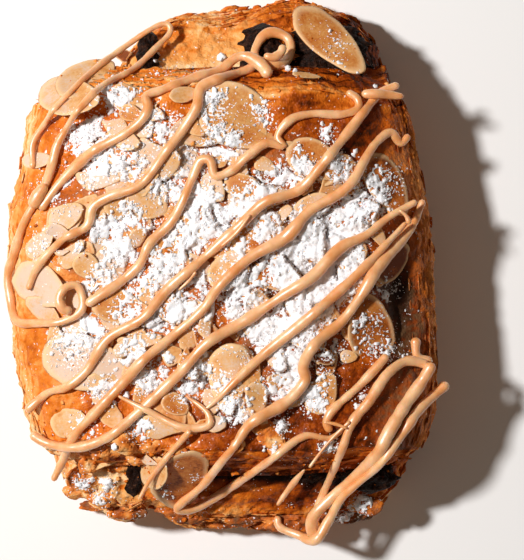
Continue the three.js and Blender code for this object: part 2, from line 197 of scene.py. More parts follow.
def smooth_path(points: Array, step: float) -> Array:
    """Curve through points at even steps.

    Each stretch blends the straight lines through its four nearest points, with knots spaced by the square
    root of their distances, so that it neither overshoots nor loops. The end points are mirrored outwards.

    Args:
        points: points that the curve passes, shape (count, axes).
        step: length of a step in mm.

    Returns:
        Points of the curve, shape (steps + 1, axes).
    """
    ends = np.vstack([2 * points[0] - points[1], points, 2 * points[-1] - points[-2]])[:, None]
    before, start, stop, after = ends[:-3], ends[1:-2], ends[2:-1], ends[3:]

    def gap(one: Array, other: Array) -> Array:
        """Square root of the distance between two points."""
        return np.sqrt(np.linalg.norm(other - one, axis=-1, keepdims=True))

    knot_1 = gap(before, start)
    knot_2 = knot_1 + gap(start, stop)
    knot_3 = knot_2 + gap(stop, after)
    knot = knot_1 + (knot_2 - knot_1) * np.linspace(0, 1, PATH_FINENESS, endpoint=False)[None, :, None]

    def between(low: Any, high: Array, one: Array, other: Array) -> Array:
        """Straight blend of two points over the knots from low to high."""
        return ((high - knot) * one + (knot - low) * other) / (high - low)

    line_1 = between(0.0, knot_1, before, start)
    line_2 = between(knot_1, knot_2, start, stop)
    line_3 = between(knot_2, knot_3, stop, after)
    bend_1 = between(0.0, knot_2, line_1, line_2)
    bend_2 = between(knot_1, knot_3, line_2, line_3)
    curve = between(knot_1, knot_2, bend_1, bend_2).reshape(-1, points.shape[1])
    curve = np.vstack([curve, points[-1:]])
    along = lengths_along(curve)
    even = np.linspace(0.0, along[-1], max(4, round(along[-1] / step)) + 1)
    return np.stack([np.interp(even, along, part) for part in curve.T], axis=-1)


def ring_normals(rings: Array) -> Array:
    """Outward unit normals of rings: the step round a ring crossed with the step to the next ring."""
    round_step = np.roll(rings, -1, axis=1) - np.roll(rings, 1, axis=1)
    return unit(np.cross(round_step, np.gradient(rings, axis=0)))


def even_angles(section: Callable[[Array], Array], count: int) -> Array:
    """Angles that split a closed section into even steps, which are wider along its base.

    Args:
        section: gives the points of the section at angles.
        count: number of angles.

    Returns:
        The angles, without the last one that closes the turn.
    """
    fine = np.linspace(0, FULL_TURN, FINE_ANGLES)
    points = section(fine)
    weights = np.where(points[1:, 2] > BASE_HEIGHT, 1.0, BASE_WEIGHT)
    steps = np.linalg.norm(np.diff(points, axis=0), axis=-1) * weights
    along = np.concatenate([[0.0], np.cumsum(steps)])
    return np.interp(np.linspace(0, along[-1], count, endpoint=False), along, fine)


# Meshes and the height grid


@dataclass
class MeshBatch:
    """Surfaces gathered into one mesh, with named values at their points."""

    points: list[Array] = field(default_factory=list)
    corners: list[Array] = field(default_factory=list)
    sizes: list[Array] = field(default_factory=list)
    values: dict[str, list[Array]] = field(default_factory=dict)
    total: int = 0

    def add_faces(self, points: Array, faces: list[Array], values: dict[str, Array]) -> None:
        """Adds points and the faces between them.

        Args:
            points: places in mm, shape (count, 3).
            faces: point numbers, one array for each number of corners, shape (faces, corners).
            values: named values, one for each point.
        """
        for group in faces:
            self.corners.append((group + self.total).ravel())
            self.sizes.append(np.full(len(group), group.shape[1]))
        for name, value in values.items():
            self.values.setdefault(name, []).append(value)
        self.points.append(points)
        self.total += len(points)

    def add_closed(self, rings: Array, poles: Array, **values: Any) -> None:
        """Adds closed surfaces, each of them rings of points between two poles.

        Faces point outwards where a ring turns anticlockwise about the direction from the first pole to the
        last. Four corners join each pair of neighbouring rings, and a fan of triangles closes each pole.

        Args:
            rings: places in mm, shape (surfaces, rings, columns, 3).
            poles: the points before the first and after the last ring, shape (surfaces, 2, 3).
            values: named values, each of a shape that spreads to (surfaces, rings * columns + 2).
        """
        surfaces, rows, columns = rings.shape[:3]
        points = np.concatenate([poles[:, :1], rings.reshape(surfaces, -1, 3), poles[:, 1:]], axis=1)
        per_surface = points.shape[1]
        here = np.arange(columns)
        after = np.roll(here, -1)
        start = 1 + columns * np.arange(rows)[:, None]
        low, high = start[:-1], start[1:]
        quads = np.stack([low + here, low + after, high + after, high + here], axis=-1).reshape(-1, 4)
        first_fan = np.stack([np.zeros_like(here), 1 + after, 1 + here], axis=-1)
        tip = np.full_like(here, per_surface - 1)
        last_fan = np.stack([start[-1] + here, start[-1] + after, tip], axis=-1)
        offsets = per_surface * np.arange(surfaces)[:, None, None]
        faces = [
            (offsets + quads).reshape(-1, 4),
            (offsets + np.concatenate([first_fan, last_fan])).reshape(-1, 3),
        ]
        spread = {
            name: np.broadcast_to(value, (surfaces, per_surface)).ravel() for name, value in values.items()
        }
        self.add_faces(points.reshape(-1, 3), faces, spread)

    def to_object(self, name: str, material: Material) -> Piece:
        """Makes the mesh object, in metres and in the part's frame.

        Args:
            name: name of the piece.
            material: its finish.

        Returns:
            The new object, at the origin.
        """
        mesh = bpy.data.meshes.new(name)
        points = ((np.concatenate(self.points) + CENTRING) * MM).astype(np.float32)
        corners = np.concatenate(self.corners).astype(np.int32)
        sizes = np.concatenate(self.sizes)
        mesh.vertices.add(len(points))
        mesh.vertices.foreach_set("co", points.ravel())
        mesh.loops.add(len(corners))
        mesh.loops.foreach_set("vertex_index", corners)
        mesh.polygons.add(len(sizes))
        mesh.polygons.foreach_set("loop_start", (np.cumsum(sizes) - sizes).astype(np.int32))
        mesh.polygons.foreach_set("use_smooth", np.ones(len(sizes), bool))
        mesh.update(calc_edges=True)
        for value_name, parts in self.values.items():
            attribute = mesh.attributes.new(value_name, "FLOAT", "POINT")
            attribute.data.foreach_set("value", np.concatenate(parts).astype(np.float32))
        mesh.materials.append(material)
        piece = bpy.data.objects.new(name, mesh)
        bpy.context.scene.collection.objects.link(piece)
        return piece


def with_poles(grid: Array) -> Array:
    """Values at ring points, shape (rings, columns), with the mean of the end rings for the two poles."""
    return np.concatenate([[grid[0].mean()], grid.ravel(), [grid[-1].mean()]])


def hand_in(piece: Piece, slot: Slot, *nodes: str) -> None:
    """Makes a piece ride on the part, and hides the solids that it stands for.

    Args:
        piece: the finished piece.
        slot: material slot of the record; not used.
        nodes: solids that the piece replaces.
    """
    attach(piece, BODY)
    if nodes:
        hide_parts(*nodes)
    LOG.info("%s: %d faces", piece.name, len(piece.data.polygons))


@dataclass
class Terrain:
    """Height of everything laid so far, on a square grid seen from above."""

    half_x: float = 63.84
    half_y: float = 76.16
    pitch: float = 0.28
    level: Array = field(init=False)

    def __post_init__(self) -> None:
        """Starts with the bare surface under the pastry."""
        shape = (round(2 * self.half_y / self.pitch) + 1, round(2 * self.half_x / self.pitch) + 1)
        self.level = np.zeros(shape)

    def places(self) -> tuple[Array, Array]:
        """X and Y of the grid points."""
        rows, columns = self.level.shape
        return np.meshgrid(
            np.linspace(-self.half_x, self.half_x, columns), np.linspace(-self.half_y, self.half_y, rows)
        )

    def drape(self, rings: Array, fineness: int) -> None:
        """Raises the grid to a surface: each cell keeps the highest point that falls in it.

        Args:
            rings: rings of points, shape (rings, columns, 3).
            fineness: number of even steps taken between neighbouring points, so that no cell is missed.
        """
        share = np.arange(fineness) / fineness
        along = rings[:-1, None] + (rings[1:] - rings[:-1])[:, None] * share[None, :, None, None]
        along = along.reshape(-1, rings.shape[1], 3)
        onward = np.roll(along, -1, axis=1) - along
        filled = (along[:, :, None] + onward[:, :, None] * share[None, None, :, None]).reshape(-1, 3)
        column = np.rint((filled[:, 0] + self.half_x) / self.pitch).astype(int)
        row = np.rint((filled[:, 1] + self.half_y) / self.pitch).astype(int)
        rows, columns = self.level.shape
        inside = (row >= 0) & (row < rows) & (column >= 0) & (column < columns)
        np.maximum.at(self.level, (row[inside], column[inside]), filled[inside, 2])

    def height(self, x: Array, y: Array) -> Array:
        """Height at places, blended between the four nearest grid points.

        Args:
            x: places in mm.
            y: places in mm.

        Returns:
            Heights in mm, of the places' shape.
        """
        rows, columns = self.level.shape
        across = np.clip((x + self.half_x) / self.pitch, 0, columns - 1.001)
        along = np.clip((y + self.half_y) / self.pitch, 0, rows - 1.001)
        column, row = across.astype(int), along.astype(int)
        right, up = across - column, along - row
        lower = self.level[row, column] * (1 - right) + self.level[row, column + 1] * right
        upper = self.level[row + 1, column] * (1 - right) + self.level[row + 1, column + 1] * right
        return lower * (1 - up) + upper * up


@dataclass
class Bench:
    """What a piece is built with: the heights laid so far, the sugar, and the material of each slot."""

    terrain: Terrain
    drifts: "SugarDrifts"
    finish: dict[Slot, Material]


# Finishes


def linear(colour: Colour) -> tuple[float, ...]:
    """Linear opaque colour from a screen colour of 0 to 255, by the screen's own curve."""
    share = np.array(colour) / 255.0
    return (*np.where(share <= 0.04045, share / 12.92, ((share + 0.055) / 1.055) ** 2.4).tolist(), 1.0)


class NodeBuilder:
    """Adds nodes to one node tree and joins them."""

    def __init__(self, tree: NodeTree) -> None:
        """Keeps the tree that the nodes go into."""
        self.tree = tree

    def add(self, kind: str, inputs: dict[Any, Any] | None = None, **settings: Any) -> bpy.types.Node:
        """Adds one node.

        Args:
            kind: Blender's name of the node.
            inputs: sockets to join, or values to set, by input name or number.
            settings: properties of the node.

        Returns:
            The new node.
        """
        node = self.tree.nodes.new(kind)
        for name, value in settings.items():
            setattr(node, name, value)
        self.feed(node, inputs or {})
        return node

    def feed(self, node: bpy.types.Node, inputs: dict[Any, Any]) -> None:
        """Joins sockets to the inputs of a node, or sets values on them.

        Args:
            node: the node.
            inputs: sockets or values, by input name or number.
        """
        for key, value in inputs.items():
            if isinstance(value, Socket):
                self.tree.links.new(value, node.inputs[key])
            else:
                node.inputs[key].default_value = value

    def math(self, operation: str, first: Any, second: Any = 0.0, third: Any = 0.0) -> Socket:
        """Result of one sum on sockets or numbers."""
        return self.add("ShaderNodeMath", {0: first, 1: second, 2: third}, operation=operation).outputs[0]

    def vary(self, value: Any, share: Socket, gain: float) -> Socket:
        """Value moved by a share of 0 to 1, by half the gain down and up."""
        return self.math("MULTIPLY_ADD", self.math("SUBTRACT", share, 0.5), gain, value)

    def noise(self, place: Socket, scale: Socket, detail: float, rough: float = 0.5) -> Socket:
        """Cloud of 0 to 1 over places."""
        inputs = {"Vector": place, "Scale": scale, "Detail": detail, "Roughness": rough}
        return self.add("ShaderNodeTexNoise", inputs).outputs[0]

    def bump(self, height: Socket, strength: float, distance: float) -> Socket:
        """Normal bent by a height, over a distance in mm."""
        inputs = {"Height": height, "Strength": strength, "Distance": distance * MM}
        return self.add("ShaderNodeBump", inputs).outputs[0]

    def attribute(self, name: str) -> Socket:
        """Value that the mesh holds at its points under a name."""
        return self.add("ShaderNodeAttribute", attribute_name=name).outputs["Fac"]

    def mix(self, share: Any, first: Any, second: Any) -> Socket:
        """Blend of two colours by a share."""
        node = self.add("ShaderNodeMix", {0: share, 6: first, 7: second}, data_type="RGBA")
        return node.outputs[2]

    def ease(self, value: Any, low: float, high: float) -> Socket:
        """Value that rises smoothly from 0 at low to 1 at high."""
        inputs = {"Value": value, "From Min": low, "From Max": high}
        return self.add("ShaderNodeMapRange", inputs, interpolation_type="SMOOTHSTEP").outputs[0]

    def ramp(self, share: Socket, stops: Scale) -> Socket:
        """Colour at a share of a scale of screen colours.

        Args:
            share: place on the scale, from 0 to 1.
            stops: places with their colours, in order.

        Returns:
            The colour socket.
        """
        node = self.add("ShaderNodeValToRGB", {0: share})
        elements = node.color_ramp.elements
        elements[0].position, elements[0].color = stops[0][0], linear(stops[0][1])
        elements[1].position, elements[1].color = stops[-1][0], linear(stops[-1][1])
        for place, colour in stops[1:-1]:
            elements.new(place).color = linear(colour)
        return node.outputs[0]

    def group(self, tree: NodeTree, **inputs: Any) -> Socket:
        """First output of a shared effect placed in this tree with its own values."""
        return self.add("ShaderNodeGroup", inputs, node_tree=tree).outputs[0]


@dataclass
class SharedEffects:
    """Effects that more than one finish uses, each a node group."""

    mottle: NodeTree = field(init=False)
    grain: NodeTree = field(init=False)
    dusting: NodeTree = field(init=False)

    def __post_init__(self) -> None:
        """Builds each effect once."""
        self.make_mottle()
        self.make_grain()
        self.make_dusting()

    @staticmethod
    def start(name: str, inputs: dict[str, float], output: str) -> tuple[NodeBuilder, dict[str, Socket], Any]:
        """Starts a node group that reads Object coordinates in millimetres.

        Args:
            name: name of the group.
            inputs: input names with their usual values; the last one is a size in mm.
            output: name of its output.

        Returns:
            The builder, the sockets of the inputs, of "Place" and of "Scale", and the group's output node.
        """
        tree = bpy.data.node_groups.new(name, "ShaderNodeTree")
        for label, value in inputs.items():
            socket = tree.interface.new_socket(label, in_out="INPUT", socket_type="NodeSocketFloat")
            socket.default_value = value
        tree.interface.new_socket(output, in_out="OUTPUT", socket_type="NodeSocketFloat")
        nodes = NodeBuilder(tree)
        given = nodes.add("NodeGroupInput")
        sockets = {label: given.outputs[label] for label in inputs}
        place = nodes.add("ShaderNodeTexCoord").outputs["Object"]
        inputs_mm = {0: place, "Scale": 1.0 / MM}
        sockets["Place"] = nodes.add("ShaderNodeVectorMath", inputs_mm, operation="SCALE").outputs[0]
        sockets["Scale"] = nodes.math("DIVIDE", 1.0, sockets[list(inputs)[-1]])
        return nodes, sockets, nodes.add("NodeGroupOutput")

    def make_mottle(self) -> None:
        """Uneven colour: a cloud of a given size in millimetres, from 0 to 1."""
        nodes, given, out = self.start("Mottle", {"Size": 5.0}, "Value")
        noise = nodes.noise(given["Place"], given["Scale"], 4.0, 0.55)
        nodes.feed(out, {0: nodes.ease(noise, 0.25, 0.75)})
        self.mottle = nodes.tree

    def make_grain(self) -> None:
        """Height of a fine, rough surface: a cloud of a given size, pitted by cells of half that size."""
        nodes, given, out = self.start("FineGrain", {"Size": 1.0}, "Height")
        noise = nodes.noise(given["Place"], given["Scale"], 3.0, 0.6)
        cells = {"Vector": given["Place"], "Scale": nodes.math("MULTIPLY", given["Scale"], 2.0)}
        pits = nodes.add("ShaderNodeTexVoronoi", cells).outputs["Distance"]
        nodes.feed(out, {0: nodes.math("MULTIPLY_ADD", pits, 0.35, noise)})
        self.grain = nodes.tree

    def make_dusting(self) -> None:
        """Mask of sugar dust: specks of a fine cloud that grow together as the cover rises from 0 to 1."""
        nodes, given, out = self.start("SugarDusting", {"Cover": 0.0, "Speck": 0.6}, "Mask")
        specks = nodes.noise(given["Place"], given["Scale"], 1.0)
        patches = nodes.noise(given["Place"], nodes.math("MULTIPLY", given["Scale"], 0.16), 2.0)
        raised = nodes.math("MULTIPLY_ADD", given["Cover"], 0.26, specks)
        raised = nodes.math("MULTIPLY_ADD", patches, 0.5, raised)
        nodes.feed(out, {0: nodes.ease(raised, 1.0, 1.04)})
        self.dusting = nodes.tree


def new_material(name: str) -> tuple[Material, NodeBuilder, bpy.types.Node]:
    """Material with its Principled shader.

    Args:
        name: name of the material.

    Returns:
        The material, a builder for its nodes, and the shader node.
    """
    material = bpy.data.materials.new(name)
    material.use_nodes = True
    nodes = NodeBuilder(material.node_tree)
    shader = next(node for node in material.node_tree.nodes if node.type == "BSDF_PRINCIPLED")
    return material, nodes, shader


@dataclass(frozen=True)
class Finish:
    """A finish: a place on a scale of colours, moved by clouds of two sizes, with gloss, glow and fine grain.

    The place is a value of the mesh, or else the middle of the scale. Sizes are in mm. The mesh's values also
    dry the colour, glaze it or dust it with sugar, where the finish has the shares for that.
    """

    name: str = ""
    scale: Scale = ()
    value: str = ""
    middle: float = 0.5
    broad: float = 6.0
    broad_gain: float = 0.0
    fine: float = 1.0
    fine_gain: float = 0.0
    # Colours of a slice's rim and of the skin outside it, with their shares
    rim: Colour | None = None
    rim_share: float = 0.8
    skin: Colour | None = None
    skin_share: float = 0.7
    dull: Colour | None = None
    dull_share: float = 0.5
    rough: float = 0.5
    rough_gain: float = 0.0
    dust_gain: float = 0.0
    glaze_gain: float = 0.0
    shine: float = 0.5
    coat: float = 0.0
    coat_rough: float = 0.03
    coat_index: float = 1.5
    glow: float = 0.0
    glow_radius: Colour = (1.0, 0.2, 0.1)
    depth: float = 0.8
    grain: float = 1.0
    bump: float = 0.5
    bump_distance: float = 0.3

    def material(self, effects: SharedEffects) -> Material:
        """Builds the material.

        Args:
            effects: the shared node groups.

        Returns:
            The finished material.
        """
        material, nodes, shader = new_material(self.name)
        broad = nodes.group(effects.mottle, Size=self.broad)
        fine = nodes.group(effects.mottle, Size=self.fine)
        place = nodes.attribute(self.value) if self.value else self.middle
        place = nodes.vary(nodes.vary(place, broad, self.broad_gain), fine, self.fine_gain)
        colour = nodes.ramp(place, self.scale)
        rough = nodes.math("MULTIPLY_ADD", fine, self.rough_gain, self.rough)
        coat: Any = self.coat
        dust: Any = 0.0
        if self.rim:
            rim = nodes.attribute("rim")
            edge = nodes.math("MULTIPLY", nodes.ease(rim, 0.74, 0.96), self.rim_share)
            colour = nodes.mix(edge, colour, linear(self.rim))
            skin = nodes.math("MULTIPLY", nodes.ease(rim, 0.95, 1.0), nodes.ease(broad, 0.35, 0.65))
            colour = nodes.mix(nodes.math("MULTIPLY", skin, self.skin_share), colour, linear(self.skin))
        if self.dull:
            share = nodes.math("MULTIPLY", fine, self.dull_share)
            dry = nodes.math("MULTIPLY", nodes.attribute("dry"), share)
            colour = nodes.mix(dry, colour, linear(self.dull))
        if self.dust_gain:
            dust = nodes.group(effects.dusting, Cover=nodes.attribute("dust"))
            colour = nodes.mix(dust, colour, linear(DUST_COLOUR))
            rough = nodes.math("MULTIPLY_ADD", dust, self.dust_gain, rough)
        if self.glaze_gain:
            bare = nodes.math("SUBTRACT", 1.0, dust)
            glaze = nodes.math("MULTIPLY", nodes.attribute("glaze"), bare)
            rough = nodes.math("MULTIPLY_ADD", glaze, -self.glaze_gain, rough)
            coat = nodes.math("MULTIPLY", glaze, self.coat)
        grain = nodes.group(effects.grain, Size=self.grain)
        nodes.feed(shader, {
            "Base Color": colour,
            "Roughness": rough,
            "Specular IOR Level": self.shine,
            "Coat Weight": coat,
            "Coat Roughness": self.coat_rough,
            "Coat IOR": self.coat_index,
            "Subsurface Weight": self.glow,
            "Subsurface Radius": self.glow_radius,
            "Subsurface Scale": self.depth * MM,
            "Normal": nodes.bump(grain, self.bump, self.bump_distance),
        })
        return material


@dataclass(frozen=True)
class CrustFinish(Finish):
    """Baked dough from pale crumb to burnt edges, with shade painted into its darker places, glazed, dry or
    dusted with sugar.
    """

    name: str = "baked_crust"
    scale: Scale = (
        (0.0, (248, 206, 154)), (0.2, (238, 166, 92)), (0.42, (221, 120, 34)), (0.6, (186, 87, 15)),
        (0.78, (129, 51, 6)), (0.9, (72, 28, 5)), (1.0, (34, 13, 5)),
    )
    value: str = "bake"
    broad: float = 7.0
    broad_gain: float = 0.2
    fine: float = 1.5
    fine_gain: float = 0.2
    dull: Colour = (188, 138, 94)
    rough: float = 0.6
    dust_gain: float = 0.25
    glaze_gain: float = 0.28
    shine: float = 0.08
    coat: float = 0.18
    coat_rough: float = 0.16
    grain: float = 1.1
    bump: float = 0.85
    bump_distance: float = 0.45


@dataclass(frozen=True)
class ChocolateFinish(Finish):
    """Dark chocolate, melted, set and rough, with grey bloom on its high grains."""

    name: str = "dark_chocolate"
    scale: Scale = ((0.0, (12, 5, 2)), (0.5, (32, 15, 8)), (0.85, (56, 30, 18)), (1.0, (92, 60, 42)))
    fine: float = 0.9
    fine_gain: float = 1.0
    rough: float = 0.36
    rough_gain: float = 0.3
    shine: float = 0.1
    grain: float = 0.9
    bump: float = 0.8
    bump_distance: float = 0.6


@dataclass(frozen=True)
class AlmondFinish(Finish):
    """Toasted almond: cream to brown in the middle of a slice, with a pale rim, dusted with sugar; the toast
    also carries painted shade.
    """

    name: str = "toasted_almond"
    scale: Scale = (
        (0.0, (218, 188, 164)), (0.3, (222, 168, 108)), (0.55, (204, 134, 68)),
        (0.8, (186, 100, 34)), (1.0, (122, 58, 18)),
    )
    value: str = "toast"
    broad: float = 4.0
    broad_gain: float = 0.4
    fine: float = 0.6
    fine_gain: float = 0.24
    rim: Colour = (238, 196, 146)
    skin: Colour = (160, 94, 44)
    dust_gain: float = 0.35
    shine: float = 0.18
    glow: float = 0.2
    glow_radius: Colour = (1.0, 0.6, 0.3)
    grain: float = 1.4
    bump: float = 0.4
    bump_distance: float = 0.25


@dataclass(frozen=True)
class IcingFinish(Finish):
    """Smooth set caramel icing with a soft shine."""

    name: str = "caramel_icing"
    scale: Scale = ((0.0, (230, 148, 76)), (1.0, (248, 200, 150)))
    broad_gain: float = 1.0
    fine: float = 1.2
    rough: float = 0.38
    rough_gain: float = 0.15
    shine: float = 0.6
    coat: float = 0.8
    coat_rough: float = 0.34
    coat_index: float = 1.7
    glow: float = 0.5
    glow_radius: Colour = (1.0, 0.5, 0.22)
    grain: float = 2.4
    bump: float = 0.4


@dataclass(frozen=True)
class SugarFinish(Finish):
    """Matt white icing sugar with fine grains."""

    name: str = "icing_sugar"
    scale: Scale = ((0.0, (244, 240, 242)), (1.0, (253, 251, 252)))
    fine: float = 0.7
    fine_gain: float = 1.0
    rough: float = 0.85
    rough_gain: float = 0.1
    glow: float = 0.7
    glow_radius: Colour = (1.0, 0.95, 0.9)
    depth: float = 0.7
    grain: float = 0.5
    bump_distance: float = 0.25


# Sugar drifts, which also dust what lies under them


@dataclass(frozen=True)
class Strewn:
    """How loose sugar is strewn: bits, tries for each bit, and a cloud that leaves patches bare.

    The cloud has a size in mm, a base and a gain, and the cover is raised to a power before they thin it.
    """

    count: int
    tries: int
    patch: float
    base: float
    gain: float
    power: float
    seed: int


@dataclass
class SugarDrifts:
    """Icing sugar shaken over the pastry: heaped drifts with crumbled edges, and loose grains round them."""

    # Middle X and Y, radius, and how densely the drift covers
    drifts: tuple[tuple[float, float, float, float], ...] = (
        (-25.5, 42, 5, 1.0), (-33, 32.5, 6, 0.95), (-15.5, 35.5, 5.5, 0.9), (-2.5, 39.5, 5, 0.9),
        (-0.5, 31.5, 5.5, 1.0), (9, 37.5, 4.5, 0.6), (-29.5, 25.5, 6, 1.0), (-22.5, 25.5, 5.5, 0.95),
        (-13.5, 19.5, 4.2, 0.95), (-7, 26.5, 5, 0.75), (-16, 29, 4, 0.5), (-39, 16, 4, 0.5),
        (-43.5, 8, 5, 0.6), (-37, 22, 4, 0.5), (-44, 20, 4, 0.4), (-30, 10.5, 4.2, 1.0),
        (-24.5, 5, 4.6, 1.05), (-33.5, 5.5, 2.6, 0.7), (-22.5, 13.5, 4.4, 1.0), (-26, 12, 3, 0.95),
        (-29, -1, 4.6, 0.9), (-17, 10, 3, 0.7), (-6, 15, 7, 1.05), (-9.5, 9, 6.5, 1.0), (-2.5, 11.5, 6, 1.0),
        (-14, 2.5, 6, 0.9),
        (-18, -2, 5, 0.6), (5, 15, 5.5, 0.9), (9.5, 19.5, 5.5, 0.95), (14.5, 22.5, 5, 1.0), (18, 24, 5, 1.0),
        (24.5, 32.5, 3, 0.85), (10, 11.5, 5.5, 0.9), (27.5, 24, 5, 0.9), (3, 6, 5, 0.7), (15.5, 2, 8.5, 1.1),
        (22.5, 8, 8.5, 1.15), (29.5, 12.5, 7.5, 1.1), (34.5, 17.5, 6.5, 1.0), (5, -4, 7, 1.05),
        (3, -7.5, 5.5, 1.0), (9.5, -14.5, 6.5, 1.05), (18, -9, 8, 1.1), (25, -3, 7.5, 1.05),
        (31, 1, 6, 0.9), (15.5, -22, 6, 1.05), (13, -26.5, 5, 1.0), (18, -16, 6.5, 1.05),
        (20, -13.5, 5, 0.9), (-10.5, -8.5, 5.5, 0.9), (-15.5, -11, 5, 0.85), (-22.5, -10, 5, 0.8),
        (-7, -4, 5, 0.85), (-3, -12, 5, 0.7), (-35.5, -17, 5.5, 1.0), (-32, -14.5, 5, 1.0),
        (-38, -20, 4, 0.6), (-21.5, -18.5, 4.5, 0.85), (-17.5, -25, 5, 0.9), (-28.5, -28, 4.5, 0.75),
        (-20, -37, 3.5, 0.7), (-15, -19, 4, 0.6), (-6, -24, 5, 0.95), (-8.5, -28, 4.5, 0.85),
        (-1, -26.5, 4.5, 0.8), (2.5, -32, 4.5, 0.95), (5, -20, 4, 0.6), (20, -29.5, 5, 0.85),
        (25, -19, 4, 0.7), (37, -18.5, 4.5, 0.6), (35.5, -13, 5, 0.65), (24, -24, 4, 0.6),
        (-34.5, -51, 2.8, 0.95), (-28.7, -51.2, 2.4, 0.9), (-30.7, -55.2, 2.6, 0.9), (-29.5, -59, 2.2, 0.75),
        (28, -59, 3.2, 1.1), (33.5, -56, 3, 1.1), (25, -41.5, 3, 0.8), (14, -35.8, 2.4, 0.95),
        (12, -41.5, 1.6, 0.7), (32.5, -30.5, 3, 0.8), (-7, -49, 1.6, 0.5), (-14.8, -52, 1.8, 0.55),
        (-6, -58, 2.5, 0.5), (26.5, 53.5, 4, 0.5), (39, 21, 5, 0.5), (-33, -36, 4, 0.5), (39, -4, 3.5, 0.6),
        (-14.5, 49, 3.5, 0.55), (-8, 47.5, 3, 0.45), (-17, 52, 2.5, 0.4),
    )
    fullest: float = 1.15
    half_x: float = 54.0
    half_y: float = 66.0
    puffs: int = 40000
    stamp: int = 5
    sink: float = 0.45
    floor: float = 0.55
    steepest: float = 1.5
    feel: float = 1.3
    lowest: float = 12.0
    cliff: float = 1.3
    packed: float = 1.0
    heap: float = 0.62
    heap_from: float = 0.45
    thinnest: float = 0.03
    grains: Strewn = Strewn(6500, 12, 4.0, 0.5, 0.9, 1.2, 30)
    clumps: Strewn = Strewn(420, 14, 5.0, 0.3, 1.2, 1.0, 40)
    # Middle X and Y, and radius, of single larger balls
    balls: tuple[tuple[float, float, float], ...] = (
        (-1, 52.4, 0.95), (15.1, 48.8, 0.8), (16.6, 48.2, 0.6), (-23.2, -29, 0.8), (-25.8, -41, 0.8),
    )
    seed: int = 71

    def coverage(self, x: Array, y: Array) -> Array:
        """How densely sugar covers places: the highest of round bells over the drifts, with low skirts.

        Args:
            x: places in mm.
            y: places in mm.

        Returns:
            Shares from 0 for none to about 1 for a closed heap.
        """
        total = np.zeros_like(x)
        for middle_x, middle_y, radius, density in self.drifts:
            away = ((x - middle_x) ** 2 + (y - middle_y) ** 2) / radius**2
            total = np.maximum(total, density * np.exp(-(away**1.5))) + 0.06 * density * np.exp(-away)
        return np.minimum(total, self.fullest)

    def depth(self, terrain: Terrain) -> Array:
        """Signed depth of sugar on the height grid.

        Puffs are drawn where a chance is under the cover, less by the swells of a broad cloud. Each is a
        dome over a disc: the root of its radius squared less the distance squared. It is stamped on the grid
        points near it, each of which keeps the highest dome. Thick drifts are packed shut. A heap that swells
        with the cover lifts them, and two fine clouds roughen them.

        Args:
            terrain: what the sugar lies on.

        Returns:
            Depths in mm, below 0 where there is no sugar.
        """
        draw = np.random.default_rng(self.seed + 5)
        x = draw.uniform(-self.half_x, self.half_x, self.puffs)
        y = draw.uniform(-self.half_y, self.half_y, self.puffs)
        cover = self.coverage(x, y)
        patchy = 1.25 * cover - 0.42 + 0.55 * cloud(flat_points(x, y), 4.5, 2, self.seed)
        kept = (draw.uniform(0, 1, self.puffs) < patchy) & self.holds(terrain, x, y)
        x, y, cover = x[kept], y[kept], cover[kept]
        radius = (0.3 + 0.6 * draw.uniform(0, 1, len(x)) ** 3) * (0.6 + 0.45 * cover)
        depth = np.full(terrain.level.shape, -self.sink)
        near = np.arange(-self.stamp, self.stamp + 1)
        row = np.rint((y + terrain.half_y) / terrain.pitch).astype(int)[:, None, None] + near[:, None]
        column = np.rint((x + terrain.half_x) / terrain.pitch).astype(int)[:, None, None] + near
        away_x = column * terrain.pitch - terrain.half_x - x[:, None, None]
        away_y = row * terrain.pitch - terrain.half_y - y[:, None, None]
        row, column = np.broadcast_arrays(row, column)
        spots = flat_points(*terrain.places())
        crumbs = cloud(spots, 1.0, 2, self.seed + 10)
        inside = radius[:, None, None] ** 2 * (1 + 0.7 * crumbs[row, column]) - away_x**2 - away_y**2
        hit = inside > 0
        np.maximum.at(depth, (row[hit], column[hit]), 0.5 * np.sqrt(inside[hit]))
        cover = self.coverage(*terrain.places())
        packed = cover + 0.3 * cloud(spots, 3.0, 2, self.seed + 13) > self.packed
        depth = np.where(packed & self.holds(terrain, *terrain.places()), np.maximum(depth, 0.15), depth)
        swell = 0.6 + 0.8 * cloud(spots, 3.5, 2, self.seed + 11)
        heap = self.heap * swell * np.maximum(0.0, cover - self.heap_from)
        fine = 0.14 * crumbs + 0.12 * cloud(spots, 0.6, 1, self.seed + 12)
        return np.where(depth > 0, depth + np.maximum(0.0, heap) + fine, depth)

    def build_heaps(self, bench: Bench) -> Piece:
        """Makes the heaps: a height sheet on a square grid, and one under it that it meets at its rim.

        Args:
            bench: heights, sugar and finishes.

        Returns:
            The piece.
        """
        terrain = bench.terrain
        x, y = terrain.places()
        depth, ground = self.depth(terrain), terrain.level
        solid = depth > self.thinnest

        def four(grid: Array) -> Array:
            """The four corners of each cell of a grid of points."""
            return np.stack([grid[:-1, :-1], grid[:-1, 1:], grid[1:, :-1], grid[1:, 1:]])

        kept = four(solid).any(axis=0) & (np.ptp(four(ground), axis=0) < self.cliff)
        inner = four(np.pad(kept, 1)).all(axis=0)
        kept &= four(inner).any(axis=0)
        used = four(np.pad(kept, 1)).any(axis=0)
        top = ground + np.where(inner, np.maximum(depth, -self.sink), -self.sink)
        top_number = np.cumsum(used).reshape(used.shape) - 1
        under_number = np.where(inner, used.sum() + np.cumsum(inner).reshape(inner.shape) - 1, top_number)
        points = np.concatenate([
            np.stack([x, y, top], axis=-1)[used], np.stack([x, y, ground - self.floor], axis=-1)[inner],
        ])

        def corners(number: Array) -> Array:
            """Point numbers of the kept cells, anticlockwise seen from above."""
            cells = [number[:-1, :-1], number[:-1, 1:], number[1:, 1:], number[1:, :-1]]
            return np.stack(cells, axis=-1)[kept]

